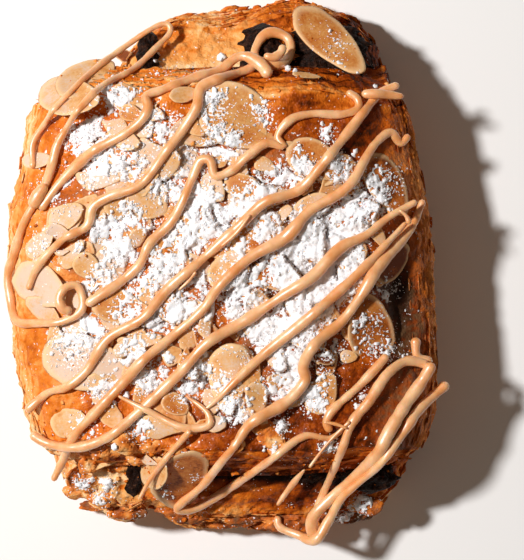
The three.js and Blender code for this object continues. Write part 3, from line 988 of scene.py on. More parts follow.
        batch = MeshBatch()
        batch.add_faces(points, [np.concatenate([corners(top_number), corners(under_number)[:, ::-1]])], {})
        terrain.level = ground + np.maximum(depth, 0.0)
        return batch.to_object("sugar_heaps", bench.finish[Slot.SUGAR])

    def holds(self, terrain: Terrain, x: Array, y: Array) -> Array:
        """Whether places hold sugar: they are high enough, and the slope felt to both sides is low.

        Args:
            terrain: what the sugar lies on.
            x: places in mm.
            y: places in mm.

        Returns:
            True where sugar stays.
        """
        rise_x = terrain.height(x + self.feel, y) - terrain.height(x - self.feel, y)
        rise_y = terrain.height(x, y + self.feel) - terrain.height(x, y - self.feel)
        gentle = np.hypot(rise_x, rise_y) < 2 * self.feel * self.steepest
        return gentle & (terrain.height(x, y) > self.lowest)

    def strew(self, terrain: Terrain, kind: Strewn, draw: np.random.Generator) -> tuple[Array, Array]:
        """Places of loose sugar, kept by chance where the cover is high, a cloud isn't low, and sugar holds.

        Args:
            terrain: what the sugar lies on.
            kind: how it is strewn.
            draw: random numbers.

        Returns:
            X and Y of the places.
        """
        x = draw.uniform(-self.half_x, self.half_x, kind.count * kind.tries)
        y = draw.uniform(-self.half_y, self.half_y, kind.count * kind.tries)
        patches = kind.base + kind.gain * cloud(flat_points(x, y), kind.patch, 2, self.seed + kind.seed)
        chance = self.coverage(x, y) ** kind.power * patches
        kept = (draw.uniform(0, 1, x.shape) < chance) & self.holds(terrain, x, y)
        return x[kept][: kind.count], y[kept][: kind.count]

    def build_grains(self, bench: Bench) -> Piece:
        """Makes loose grains: small lumps of two uneven rings, thicker near the drifts.

        Args:
            bench: heights, sugar and finishes.

        Returns:
            The piece.
        """
        draw = np.random.default_rng(self.seed)
        x, y = self.strew(bench.terrain, self.grains, draw)
        radius = 0.1 + 0.16 * draw.uniform(0, 1, len(x)) ** 2.2
        centre = np.stack([x, y, bench.terrain.height(x, y) + 0.5 * radius], axis=-1)
        batch = MeshBatch()
        batch.add_closed(*lumps(centre, radius, 2, 5, 0.35, draw))
        return batch.to_object("sugar_grains", bench.finish[Slot.SUGAR])

    def build_clumps(self, bench: Bench) -> Piece:
        """Makes clumps that sugar rolls up into: uneven balls of five rings among the drifts.

        Args:
            bench: heights, sugar and finishes.

        Returns:
            The piece.
        """
        draw = np.random.default_rng(self.seed + 1)
        ball_x, ball_y, ball_radius = np.array(self.balls).T
        x, y = self.strew(bench.terrain, self.clumps, draw)
        radius = np.concatenate([ball_radius, 0.18 + 0.3 * draw.uniform(0, 1, len(x)) ** 3])
        x, y = np.concatenate([ball_x, x]), np.concatenate([ball_y, y])
        centre = np.stack([x, y, bench.terrain.height(x, y) + 0.3 * radius], axis=-1)
        batch = MeshBatch()
        batch.add_closed(*lumps(centre, radius, 5, 7, 0.5, draw))
        return batch.to_object("sugar_clumps", bench.finish[Slot.SUGAR])


def lumps(
    centre: Array, radius: Array, rows: int, columns: int, uneven: float, draw: np.random.Generator
) -> tuple[Array, Array]:
    """Small uneven balls: rings at even polar angles from the bottom up, each point pushed by chance.

    Args:
        centre: middles in mm, shape (count, 3).
        radius: radii in mm, shape (count,).
        rows: rings of each ball.
        columns: points of each ring.
        uneven: largest push, as a share of the radius.
        draw: random numbers.

    Returns:
        The rings, shape (count, rows, columns, 3), and the poles, shape (count, 2, 3).
    """
    polar = (np.arange(rows) + 1)[:, None] / (rows + 1) * np.pi
    turn = turns(columns)[None, :]
    ball = np.stack([
        np.sin(polar) * np.cos(turn), np.sin(polar) * np.sin(turn), -np.cos(polar) + 0 * turn,
    ], axis=-1)
    push = 1 + uneven * draw.uniform(-1, 1, (len(radius), rows, columns, 1))
    reach = radius[:, None, None, None]
    rings = centre[:, None, None] + reach * push * ball
    ends = np.array([[0, 0, -1.0], [0, 0, 1.0]])
    poles = centre[:, None] + radius[:, None, None] * ends
    return rings, poles


# Dough


@dataclass(frozen=True)
class Zone:
    """Part of a form seen from above, with soft edges, and what it adds to a value.

    Along each axis a pair of places gives a smooth step from 0 to 1, and a later pair can let it fall again.
    """

    gain: float = 1.0
    x: tuple[float, ...] = ()
    y: tuple[float, ...] = ()

    def share(self, points: Array) -> Array:
        """Share of the zone: the product of its steps.

        Args:
            points: places in mm, shape (..., 3).

        Returns:
            Shares from 0 to 1, one for each point.
        """
        total = np.ones(points.shape[:-1])
        for axis, places in enumerate((self.x, self.y)):
            for low, high in zip(places[::2], places[1::2]):
                total *= eased(low, high, points[..., axis])
        return total


def zoned(zones: tuple[Zone, ...], points: Array) -> Array:
    """Sum of what zones add at points."""
    return sum(zone.gain * zone.share(points) for zone in zones)


@dataclass
class Skin:
    """Surface of a dough form: its rings, their outward normals, and how far each point stands up."""

    rings: Array
    normals: Array
    top: Array

    @classmethod
    def of(cls, rings: Array) -> "Skin":
        """Skin of smooth rings; the top share rises from steep sides to level places."""
        normals = ring_normals(rings)
        return cls(rings, normals, eased(0.42, 0.92, normals[..., 2]))

    def layers(self, pitch: float, lean: float, seed: int) -> Array:
        """Crests of thin baked layers.

        The height, plus a share of the distance along the roll, is divided by the pitch, warped by a cloud
        that is drawn out along the layers, and cut to its fraction, so that each layer swells from 0 to 1 and
        ends in an edge.

        Args:
            pitch: height of a layer in mm.
            lean: share of the distance along the roll.
            seed: picks the cloud.

        Returns:
            Crests from 0 to 1, one for each point.
        """
        drawn_out = self.rings * np.array([0.35, 0.35, 1.0])
        warp = cloud(drawn_out, 9.0, 4, seed)
        depth = self.rings[..., 2] + lean * np.abs(self.rings[..., 1])
        return np.mod(depth / pitch + warp, 1.0)

    def pushed(self, relief: Array) -> Array:
        """Rings moved out along their normals, less so towards the level base, and never under it.

        Args:
            relief: distances in mm, one for each point.

        Returns:
            The moved rings.
        """
        base = eased(0.2, 2.5, self.rings[..., 2:])
        moved = self.rings + self.normals * relief[..., None] * base
        moved[..., 2] = np.maximum(0.0, moved[..., 2])
        return moved


@dataclass
class Wrap:
    """Outer wrap of dough: a rounded roll whose cut, layered ends lean out round the inner coil."""

    half_width: float = 51.7
    widest_height: float = 17.0
    crown: float = 39.0
    undercut: float = 3.5
    back: float = 42.0
    front: float = -41.0
    plan_middle: float = -2.0
    plan_reach: float = 62.0
    plan_power: float = 3.4
    plan_fall: float = 0.385
    plan_least: float = 0.02
    pinch: float = 1.8
    pinch_at: float = 26.0
    pinch_span: float = 12.0
    section_power: float = 2.8
    skew: float = 1.55
    skew_at: float = -20.0
    skew_span: float = 18.0
    wall: float = 9.5
    side_wall: float = 1.25
    lean: float = 6.5
    recess: float = 4.0
    ragged: float = 1.1
    corner: float = 2.4
    corner_at: float = 0.5
    corner_span: float = 0.38
    hollow_at: tuple[float, float] = (42.0, -3.0)
    hollow_reach: tuple[float, float] = (4.2, 15.0)
    hollow_depth: float = 3.0
    swell: float = 0.7
    end_layers: float = 5.0
    end_step: float = 1.2
    layer_pitch: float = 1.5
    layer_relief: float = 0.7
    # How baked it is, from 0 for pale to 1 for burnt. The crack and hollow terms are painted shade, and the
    # right term is partly browner crust and partly painted shade.
    side_bake: float = 0.36
    layer_pale: float = 0.16
    crack_shade: float = 0.28
    right_dark: float = 0.12
    side_zones: tuple[Zone, ...] = (
        Zone(0.3, x=(-16, -6), y=(-42.5, -46)), Zone(0.58, x=(-4, 6), y=(43, 46)), Zone(-0.05, y=(43, 46)),
    )
    top_bake: float = 0.4
    # The first two zones darken the top towards +X: partly browner crust, partly painted shade on the side
    # away from the light.
    top_zones: tuple[Zone, ...] = (
        Zone(0.12, x=(-47, -26)), Zone(0.22, x=(-18, 12)), Zone(-0.18, x=(31, 42), y=(-12, 4, 40, 26)),
        Zone(0.05, x=(-22, -10), y=(-26, -38)), Zone(-0.2, x=(-2, 8), y=(36.5, 41)),
    )
    streaks: Zone = Zone(0.45, x=(-2, 8), y=(36.5, 41))
    foot_dark: float = 0.2
    hollow_shade: float = 0.36
    palest: float = 0.05
    darkest: float = 0.82
    # Where the crust is dry: along the right side, and in an oval under the almonds
    dry_side: Zone = Zone(x=(33, 43), y=(-54, -34, 42, 28))
    dry_middle: tuple[float, float] = (-4.0, 2.0)
    dry_reach: tuple[float, float] = (42.0, 38.0)
    dry_share: float = 0.85
    columns: int = 380
    end_rows: int = 42
    side_rows: int = 150
    seed: int = 11
    skin: Skin = field(init=False)

    def half_width_at(self, y: Array) -> Array:
        """Half width: a flat-sided oval seen from above, drawn in by a bell.

        Args:
            y: places along the roll.

        Returns:
            Half widths in mm, of the places' shape.
        """
        along = np.abs((y - self.plan_middle) / self.plan_reach)
        oval = self.half_width * np.maximum(self.plan_least, 1 - along**self.plan_power) ** self.plan_fall
        return oval - self.pinch * np.exp(-(((y - self.pinch_at) / self.pinch_span) ** 2))

    def middle(self, y: Array) -> Array:
        """Middle of the wrap, which drifts to +X towards the front."""
        return -self.skew * np.tanh((y - self.skew_at) / self.skew_span)

    def blister(self, x: Array, y: Array) -> Array:
        """Low swells of the crust: crossed waves of two lengths."""
        broad = np.sin(x / 6.3 + 1.1) * np.sin(y / 7.7 + 0.4)
        return self.swell * (broad + 0.6 * np.sin(x / 3.9 - y / 4.7))

    def section(self, angle: Array, y: Array, inset: Array | float) -> Array:
        """Points of the wrap's rounded section, flattened at the base.

        Args:
            angle: angles round the section.
            y: places along the roll.
            inset: distances in from the skin.

        Returns:
            Points in mm, of the shape that the arguments spread to.
        """
        across = signed_power(np.cos(angle), 2 / self.section_power)
        upward = signed_power(np.sin(angle), 2 / self.section_power)
        rise = np.where(upward > 0, self.crown - self.widest_height, self.widest_height + self.undercut)
        x = self.middle(y) + (self.half_width_at(y) - self.side_wall * inset) * across
        z = self.widest_height + (rise - inset) * upward
        z = z + np.where(upward > 0, self.blister(x, y) * upward, 0.0)
        return np.stack(np.broadcast_arrays(x, y, np.maximum(0.0, z)), axis=-1)

    def cut_line(self, edge: float, angle: Array) -> Array:
        """Y of the ragged edge of a cut end at each angle: two waves round the section."""
        return edge + self.ragged * (np.sin(2 * angle + edge) + 0.6 * np.sin(5 * angle - edge))

    def square(self, edge: float, angle: Array) -> Array:
        """Share of the square corner at the back right: a bell over the angles."""
        away = np.mod(angle - self.corner_at + np.pi, FULL_TURN) - np.pi
        return np.exp(-((away / self.corner_span) ** 2)) * (edge > 0)

    def hollow(self, points: Array) -> Array:
        """Share of the hollow under the crust's right edge, which is painted dark as shade: a bell drawn out
        along the roll.
        """
        away = (points[..., :2] - np.array(self.hollow_at)) / np.array(self.hollow_reach)
        return np.exp(-(away**2).sum(axis=-1)) * eased(0, 0.3, self.skin.normals[..., 2])

    def end_depths(self) -> Array:
        """Depths of a cut end's rings in the wall, from 0 at the skin to 1, with one more for its groove."""
        return np.append(np.linspace(0.0, 1.0, self.end_rows), 1.0)[:, None]

    def end_rings(self, edge: float, angle: Array) -> tuple[Array, Array]:
        """Rings of one cut end from its skin inwards, down to the groove round the coil.

        The face leans outwards with its depth in the wall, more so and less narrowed at the square corner.
        The depth times the number of layers, warped by a cloud, is cut to its fraction, whose square pushes
        each layer out to an edge.

        Args:
            edge: Y of the cut.
            angle: angles of the columns.

        Returns:
            The rings, and the crests of the layers from 0 to 1, lowered in the foot of the face, which paints
            shade there.
        """
        out = math.copysign(1.0, edge)
        depth = self.end_depths()[:-1]
        rings = self.section(angle, self.cut_line(edge, angle), depth * self.wall)
        warp = 0.9 * cloud(rings * np.array([0.2, 1.0, 1.0]), 9.0, 3, self.seed)
        torn = 0.5 + 0.9 * cloud(rings * np.array([0.3, 1.0, 1.0]), 4.0, 3, self.seed + 2)
        crest = np.mod(depth * self.end_layers + warp, 1.0) * eased(0, 0.1, depth)
        square = self.square(edge, angle)
        rings[..., 0] += 0.8 * square * self.side_wall * self.wall * depth
        rings[..., 1] += out * (self.lean + self.corner * square) * depth
        rings[..., 1] += out * self.end_step * torn * (crest**2 - 0.25)
        groove = self.section(angle, self.cut_line(edge, angle), self.wall + 0.4)
        groove[..., 1] -= out * self.recess
        crest = np.concatenate([crest, np.zeros((1, len(angle)))])
        # Lowered crests in the foot of the face, next to the groove, paint shade there.
        return np.concatenate([rings, groove[None]]), crest - 0.6 * eased(0.75, 1, self.end_depths())

    def shape(self) -> Array:
        """Works out the skin and its fine relief.

        Returns:
            Crests of the layers, one for each ring point.
        """
        angle = even_angles(lambda fine: self.section(fine, np.zeros_like(fine), 0.0), self.columns)
        share = np.linspace(0, 1, self.side_rows + 2)[1:-1, None]
        y = self.cut_line(self.back, angle) * (1 - share) + self.cut_line(self.front, angle) * share
        back, back_crest = self.end_rings(self.back, angle)
        front, front_crest = self.end_rings(self.front, angle)
        self.skin = Skin.of(np.concatenate([back[::-1], self.section(angle, y, 0.0), front]))
        side = slice(len(back), len(back) + self.side_rows)
        side_crest = self.skin.layers(self.layer_pitch, 0.0, self.seed)[side]
        crest = np.concatenate([back_crest[::-1], side_crest, front_crest])
        points = self.skin.rings
        rough = 0.2 + 0.15 * (1 - self.skin.top)
        blisters = 0.42 * cloud(points, 4.2, 2, self.seed + 5) + rough * cloud(points, 1.5, 2, self.seed + 6)
        torn = (0.6 + 0.7 * cloud(points, 4.0, 2, self.seed + 7)) * (0.7 + 0.3 * np.tanh(points[..., 0] / 20))
        relief = blisters + self.layer_relief * torn * (crest**2 - 0.4) * (1 - self.skin.top)
        relief -= self.hollow_depth * self.hollow(points)
        relief[[0, -1]] = 0.0
        self.skin.rings = self.skin.pushed(relief)
        return crest

    def build(self, bench: Bench) -> Piece:
        """Makes the wrap, darker on top, with shade painted into its layers' cracks, along its right side and
        in its hollow, and lays it into the height grid.

        Args:
            bench: heights, sugar and finishes.

        Returns:
            The piece.
        """
        crest = self.shape()
        rings, top = self.skin.rings, self.skin.top
        x, y = rings[..., 0], rings[..., 1]
        # Painted shade: the cracks between layers are darkened, and the sides darken towards +X, partly
        # browner crust and partly shade on the side away from the light.
        side = self.side_bake - self.layer_pale * crest + self.crack_shade * eased(0.25, 0, crest)
        side += self.right_dark * np.tanh(x / 25) + zoned(self.side_zones, rings)
        streaks = cloud(rings * STREAKED, 2.2, 3, self.seed + 13)
        upper = self.top_bake + zoned(self.top_zones, rings) + zoned((self.streaks,), rings) * streaks
        bake = side * (1 - top) + upper * top
        bake += (0.16 - 0.08 * eased(33, 43, x)) * cloud(rings, 10.0, 3, self.seed + 9)
        bake += self.foot_dark * eased(3, 0, rings[..., 2])
        # Painted shade in the hollow under the right edge.
        hollow = self.hollow(rings)
        bake = np.clip(bake, self.palest, self.darkest) + self.hollow_shade * hollow
        away = (rings[..., :2] - np.array(self.dry_middle)) / np.array(self.dry_reach)
        under_almonds = eased(1, 0.75, np.hypot(away[..., 0], away[..., 1]))
        dry = np.maximum(self.dry_side.share(rings) * (1 - hollow), self.dry_share * top * under_almonds)
        dust = bench.drifts.coverage(x, y) * eased(0.3, 0.7, self.skin.normals[..., 2])
        poles = np.array([
            [float(self.middle(np.array(edge))), edge - math.copysign(self.recess, edge), self.widest_height]
            for edge in (self.back, self.front)
        ])
        batch = MeshBatch()
        batch.add_closed(
            rings[None], poles[None],
            bake=with_poles(bake), glaze=with_poles(top), dust=with_poles(dust), dry=with_poles(dry),
        )
        bench.terrain.drape(rings, 4)
        return batch.to_object("outer_wrap", bench.finish[Slot.CRUST])


@dataclass
class Coil:
    """Inner coil of dough, lower and longer than the wrap, with crumbly ends that fall in thin layers."""

    top: float = 26.0
    middle_y: float = 2.0
    reach: float = 65.5
    half_width_back: float = 33.0
    half_width_front: float = 45.0
    middle_back: float = 6.0
    middle_front: float = 1.5
    change_span: float = 30.0
    plan_power: float = 7.0
    plan_fall: float = 0.4
    plan_least: float = 0.02
    end_power: float = 8.0
    widest_share: float = 0.4
    section_power: float = 4.0
    undercut: float = 3.5
    notch_x: float = -19.0
    notch_half_width: float = 4.0
    notch_depth: float = 5.0
    notch_start: float = -45.0
    notch_span: float = 18.0
    slant_low: float = -2.4
    slant_rise: float = 3.6
    hidden_half_length: float = 38.0
    # Pale hollow of crumb at the back, between the wrap and the outer ridge
    trough: Zone = Zone(x=(-18.5, -11, 8, 2), y=(44, 48, 60.5, 57))
    trough_depth: float = 2.2
    # How baked it is, from 0 for pale to 1 for burnt, with painted shade in the crevices between layers and
    # along the groove under the wrap
    inner_bake: float = 0.34
    layer_pale: float = 0.16
    trough_pale: float = 0.2
    front_skin: Zone = Zone(x=(-24, -10), y=(-30, -46))
    # The last zone darkens the front skin in a band along the groove under the wrap's front edge: painted
    # shade.
    zones: tuple[Zone, ...] = (
        Zone(-0.1, x=(-14, -22), y=(-40, -46)), Zone(0.5, x=(25, 33), y=(42, 47)),
        Zone(0.1, x=(2, 8), y=(59, 62)), Zone(0.1, x=(-20, -14), y=(-57, -60)),
        Zone(0.3, x=(-24, -10), y=(-30, -46, -54, -48, -36, -44)),
    )
    # Painted shadow of the wrap's front edge: a dark band across the coil at the groove
    groove_shadow: float = 0.3
    groove_shadow_at: float = -48.5
    groove_shadow_span: float = 1.6
    layer_pitch: float = 1.6
    layer_lean: float = 0.4
    layer_relief: float = 0.6
    columns: int = 330
    rows: int = 230
    seed: int = 31
    skin: Skin = field(init=False)

    def share(self, y: Array) -> Array:
        """Share of the coil's reach at places along the roll."""
        return np.minimum(1.0, np.abs((y - self.middle_y) / self.reach))

    def half_width_at(self, y: Array) -> Array:
        """Half width: wider at the front, with rounded corners at both ends.

        Args:
            y: places along the roll.

        Returns:
            Half widths in mm, of the places' shape.
        """
        mean = (self.half_width_back + self.half_width_front) / 2
        spread = (self.half_width_front - self.half_width_back) / 2
        outline = np.maximum(self.plan_least, 1 - self.share(y) ** self.plan_power) ** self.plan_fall
        return (mean - spread * np.tanh(y / self.change_span)) * outline

    def middle(self, y: Array) -> Array:
        """Middle of the coil, which lies further to +X at the back."""
        mean = (self.middle_back + self.middle_front) / 2
        return mean + (self.middle_back - self.middle_front) / 2 * np.tanh(y / self.change_span)

    def notch(self, x: Array, y: Array) -> Array:
        """How far a gap between two lobes moves the front end back: a bell across, rising outwards."""
        beyond = np.clip((self.notch_start - y) / self.notch_span, 0.0, 1.0)
        return self.notch_depth * beyond * np.exp(-(((x - self.notch_x) / self.notch_half_width) ** 2))

    def slant(self, x: Array, y: Array) -> Array:
        """How far the back end moves along the roll: inwards at -X, outwards at +X, rising to the tip."""
        return (self.slant_low + self.slant_rise * eased(-2, 18, x)) * eased(46, 62, y)

    def section(self, angle: Array, y: Array, top: Array) -> Array:
        """Points of the coil's squarish section.

        Args:
            angle: angles round the section.
            y: places along the roll.
            top: heights of the section.

        Returns:
            Points in mm, of the shape that the arguments spread to.
        """
        across = signed_power(np.cos(angle), 2 / self.section_power)
        upward = signed_power(np.sin(angle), 2 / self.section_power)
        widest = self.widest_share * top
        rise = np.where(upward > 0, top - widest, widest + self.undercut)
        x = self.middle(y) + self.half_width_at(y) * across
        z = np.maximum(0.0, widest + rise * upward)
        return np.stack(np.broadcast_arrays(x, y + self.notch(x, y) + self.slant(x, y), z), axis=-1)

    def spine(self) -> tuple[Array, Array]:
        """Places along the roll with the coil's height there, from the back tip to the front tip.

        The height falls to the tips as a rounded shoulder. Places are even along that curve, and sparse
        where the wrap hides the coil.

        Returns:
            Y of the rings, and their heights.
        """
        y = self.middle_y + self.reach * np.cos(np.linspace(0.0, np.pi, 20001))
        top = self.top * np.sqrt(1 - self.share(y) ** self.end_power)
        steps = np.hypot(np.diff(y), np.diff(top))
        shown = np.abs(y[1:] - self.middle_y) > self.hidden_half_length
        along = np.concatenate([[0.0], np.cumsum(steps * np.where(shown, 1.0, 0.08))])
        even = np.linspace(0.6, along[-1] - 0.6, self.rows)
        return np.interp(even, along, y), np.interp(even, along, top)

    def shape(self) -> Array:
        """Works out the skin and its crumbly relief.

        Returns:
            Crests of the layers and of the crumb, one for each ring point.
        """
        angle = even_angles(lambda fine: self.section(fine, 0 * fine, 0 * fine + self.top), self.columns)
        y, top = self.spine()
        rings = self.section(angle, y[:, None], top[:, None])
        trough = self.trough.share(rings)
        rings[..., 2] -= self.trough_depth * trough * eased(0.2, 0.8, np.sin(angle))
        self.skin = Skin.of(rings)
        crest = self.skin.layers(self.layer_pitch, self.layer_lean, self.seed)
        fibres = rings * np.array([0.5, 1.0, 1.0])
        front = eased(-30, -46, rings[..., 1])
        smooth = 1 - 0.65 * front * eased(-18, -8, rings[..., 0]) * self.skin.top
        lumpy = (0.7 + 0.5 * front) * smooth * cloud(fibres, 5.0, 2, self.seed + 5)
        pits = (0.45 + 0.3 * front) * smooth * cloud(rings, 1.8, 3, self.seed + 6)
        torn = (0.6 + 0.6 * cloud(rings, 4.0, 2, self.seed + 7)) * (1 - 0.6 * front - 0.7 * trough)
        self.skin.rings = self.skin.pushed(lumpy + pits + self.layer_relief * torn * (crest**2 - 0.3))
        return np.clip(crest * (1 - 0.7 * front) + front * (0.4 + 0.9 * pits + 0.4 * lumpy), 0.0, 1.0)

    def build(self, bench: Bench) -> Piece:
        """Makes the coil, pale in its hollow and brown on its front skin, with shade painted into its layer
        crevices and under the wrap's front edge, and lays it into the height grid.

        Args:
            bench: heights, sugar and finishes.

        Returns:
            The piece.
        """
        crest = self.shape()
        rings, top = self.skin.rings, self.skin.top
        x, y = rings[..., 0], rings[..., 1]
        front_skin = self.front_skin.share(rings)
        pale = self.trough.share(rings)
        # Painted shade in the crevices between layers, deeper towards the front.
        crevice_shade = (0.2 + 0.14 * eased(-30, -46, y)) * eased(0.2, 0, crest)
        bake = self.inner_bake + (crevice_shade - self.layer_pale * crest) * (1 - 0.85 * pale)
        bake += zoned(self.zones, rings) - self.trough_pale * pale
        # Painted shadow in the groove under the wrap's front edge.
        groove_shadowed = self.groove_shadow * np.exp(-(((y - self.groove_shadow_at) / self.groove_shadow_span) ** 2))
        bake += (0.3 + groove_shadowed + 0.23 * eased(4, 14, x)) * front_skin * top
        ridge = eased(54, 58, y) * (1 - pale)
        bake += 0.24 * ridge * cloud(rings * STREAKED, 2.4, 3, self.seed + 11)
        bake += (0.2 + 0.12 * front_skin) * cloud(rings * np.array([0.5, 1.0, 1.0]), 7.0, 3, self.seed + 9)
        dust = bench.drifts.coverage(x, y) * eased(0.2, 0.6, self.skin.normals[..., 2])
        glaze = 0.15 + 0.85 * front_skin * top + 0.4 * pale
        tips = self.middle_y + self.reach * np.array([1.0, -1.0])
        poles = np.stack([self.middle(tips), tips, np.full(2, 1.0)], axis=-1)
        poles[:, 1] += self.notch(poles[:, 0], poles[:, 1]) + self.slant(poles[:, 0], poles[:, 1])
        batch = MeshBatch()
        batch.add_closed(
            rings[None], poles[None],
            bake=with_poles(bake), glaze=with_poles(glaze), dust=with_poles(dust), dry=0.0,
        )
        bench.terrain.drape(rings, 4)
        return batch.to_object("inner_coil", bench.finish[Slot.CRUST])


@dataclass
class CreamLumps:
    """Lumps of baked almond cream along the front edge of the wrap."""

    # Middle X and Y, and radius
    places: tuple[tuple[float, float, float], ...] = (
        (-24, -39.5, 2.6), (-17.5, -41, 2.2), (-28, -42, 2.4), (8.6, -36.8, 1.7), (10.8, -39.2, 2.1),
        (-35, -50, 2.6), (-21, -44, 2.2), (-24.5, -46.5, 1.8), (-17.5, -46.5, 1.6), (-14, -42.5, 1.7),
        (-10.5, -41.5, 1.4), (-31.5, -40.5, 1.7), (-33, -46, 1.9), (-30, -55, 2.1), (-25.5, -58, 2),
        (-37.5, -53, 2), (-33, -58, 1.8), (3, -41, 1.4), (13, -41.6, 1.7), (-13, -58.5, 1.6), (-7.5, -60, 2),
        (-1.5, -61.5, 1.7), (4.5, -60.5, 2.1), (10, -62, 1.7), (16.5, -60.5, 3), (20.5, -62, 2),
        (28, -59, 2.8), (33.5, -56, 2.5), (24, -61, 1.8),
    )
    # Widths across, along and up, as shares of the radius, and how a low lump at the front differs
    squash: tuple[float, float, float] = (1.4, 1.05, 0.65)
    low_squash: tuple[float, float, float] = (0.9, -0.2, -0.1)
    baked: float = 0.34
    low_dark: float = 0.3
    right_dark: float = 0.18
    glaze: float = 0.1
    dry: float = 0.7
    rows: int = 28
    columns: int = 44
    seed: int = 43

    def build(self, bench: Bench) -> Piece:
        """Makes the lumps: balls roughened by clouds of two sizes, flatter along the low front edge.

        Args:
            bench: heights, sugar and finishes.

        Returns:
            The piece.
        """
        x, y, radius = np.array(self.places).T
        centre = np.stack([x, y, bench.terrain.height(x, y)], axis=-1)
        draw = np.random.default_rng(self.seed)
        rings, poles = lumps(centre, radius, self.rows, self.columns, 0.0, draw)
        reach = rings - centre[:, None, None]
        rough = 1 + 0.45 * cloud(rings, 3.0, 2, self.seed) + 0.2 * cloud(rings, 0.9, 3, self.seed + 1)
        low = eased(-56.5, -58.5, y)[:, None, None]
        right = eased(20, 28, x)[:, None, None]
        squash = np.array(self.squash) + low[..., None] * np.array(self.low_squash)
        rings = centre[:, None, None] + reach * rough[..., None] * squash
        bake = self.baked + self.low_dark * low + self.right_dark * right
        bake = bake + 0.34 * cloud(rings, 2.2, 3, self.seed + 2)
        dust = 0.2 + 0.7 * bench.drifts.coverage(rings[..., 0], rings[..., 1])
        batch = MeshBatch()
        for index, ring in enumerate(rings):
            batch.add_closed(
                ring[None], poles[index : index + 1],
                bake=with_poles(bake[index]), glaze=self.glaze, dust=with_poles(dust[index]), dry=self.dry,
            )
            bench.terrain.drape(ring, 3)
        return batch.to_object("cream_lumps", bench.finish[Slot.CRUST])


# Chocolate


@dataclass
class ChocolateStick:
    """A stick of chocolate that runs through the roll and crumbles where it shows at the ends."""

    node: str
    back: tuple[float, float]
    front: tuple[float, float]
    half_width: float
    half_height: float
    back_spread: float = 0.0
    level: float = 25.5
    droop: float = 3.0
    wrap_back: float = 42.0
    wrap_front: float = -41.0
    bend_share: float = 0.15
    blunt: float = 16.0
    end_share: float = 0.4
    cap: float = 0.8
    columns: int = 56
    step: float = 0.6
    seed: int = 53

    def path(self) -> Array:
        """Middle line: level inside the roll, drooping onto the coil at both ends.

        Returns:
            Points of the line at even steps.
        """
        back, front = np.array(self.back), np.array(self.front)
        shares = np.array([0.0, self.bend_share, 1 - self.bend_share, 1.0])
        x = back[0] + (front[0] - back[0]) * shares
        y = np.array([back[1], self.wrap_back, self.wrap_front, front[1]])
        z = self.level - self.droop * np.array([1.0, 0.0, 0.0, 1.0])
        return smooth_path(np.stack([x, y, z], axis=-1), self.step)

    def build(self, bench: Bench) -> Piece:
        """Makes the stick: ovals carried along its path, blunt at the ends and roughened by clouds.

        Args:
            bench: heights, sugar and finishes.

        Returns:
            The piece.
        """
        line = self.path()
        share = np.linspace(0, 1, len(line))
        taper = self.end_share + (1 - self.end_share) * np.sqrt(1 - np.abs(2 * share - 1) ** self.blunt)
        turn = turns(self.columns)
        spread = 1 + self.back_spread * eased(32, 50, line[:, 1:2])
        width = self.half_width * spread * np.cos(turn)
        oval = np.stack([width, 0 * width, self.half_height * np.sin(turn) + 0 * width], axis=-1)
        smooth = line[:, None] + taper[:, None, None] * oval
        shown = eased(0.24, 0.14, np.minimum(share, 1 - share))[:, None]
        rough = 0.2 * cloud(smooth, 4.0, 2, self.seed) + shown * 0.36 * cloud(smooth, 1.5, 3, self.seed + 1)
        rings = line[:, None] + (smooth - line[:, None]) * (1 + rough)[..., None]
        poles = line[[0, -1]] + self.cap * np.array([[0, 1.0, 0], [0, -1.0, 0]])
        batch = MeshBatch()
        batch.add_closed(rings[None], poles[None])
        bench.terrain.drape(rings, 3)
        return batch.to_object(self.node.replace("chocolate", "stick"), bench.finish[Slot.CHOCOLATE])


STICKS = (
    ChocolateStick("chocolate_left", (-18.8, 58.5), (-22.3, -54.0), 2.6, 3.0, droop=4.6),
    ChocolateStick("chocolate_middle", (9, 60), (21, -50.5), 5.5, 3.4, seed=55),
    ChocolateStick("chocolate_right", (24.5, 60), (35, -53), 6.2, 3.4, back_spread=0.42, seed=57),
)


# Almonds


@dataclass(frozen=True)
class Slice:
    """One slice of almond seen from above.

    It has a middle, a size, a turn in degrees, a toast, which towards +X partly stands for painted shade, a
    number of broken edges, and the share of what lies under it that it stays clear of.
    """

    x: float
    y: float
    length: float
    width: float
    turn: float
    toast: float
    breaks: int = 0
    clear: float = 0.75


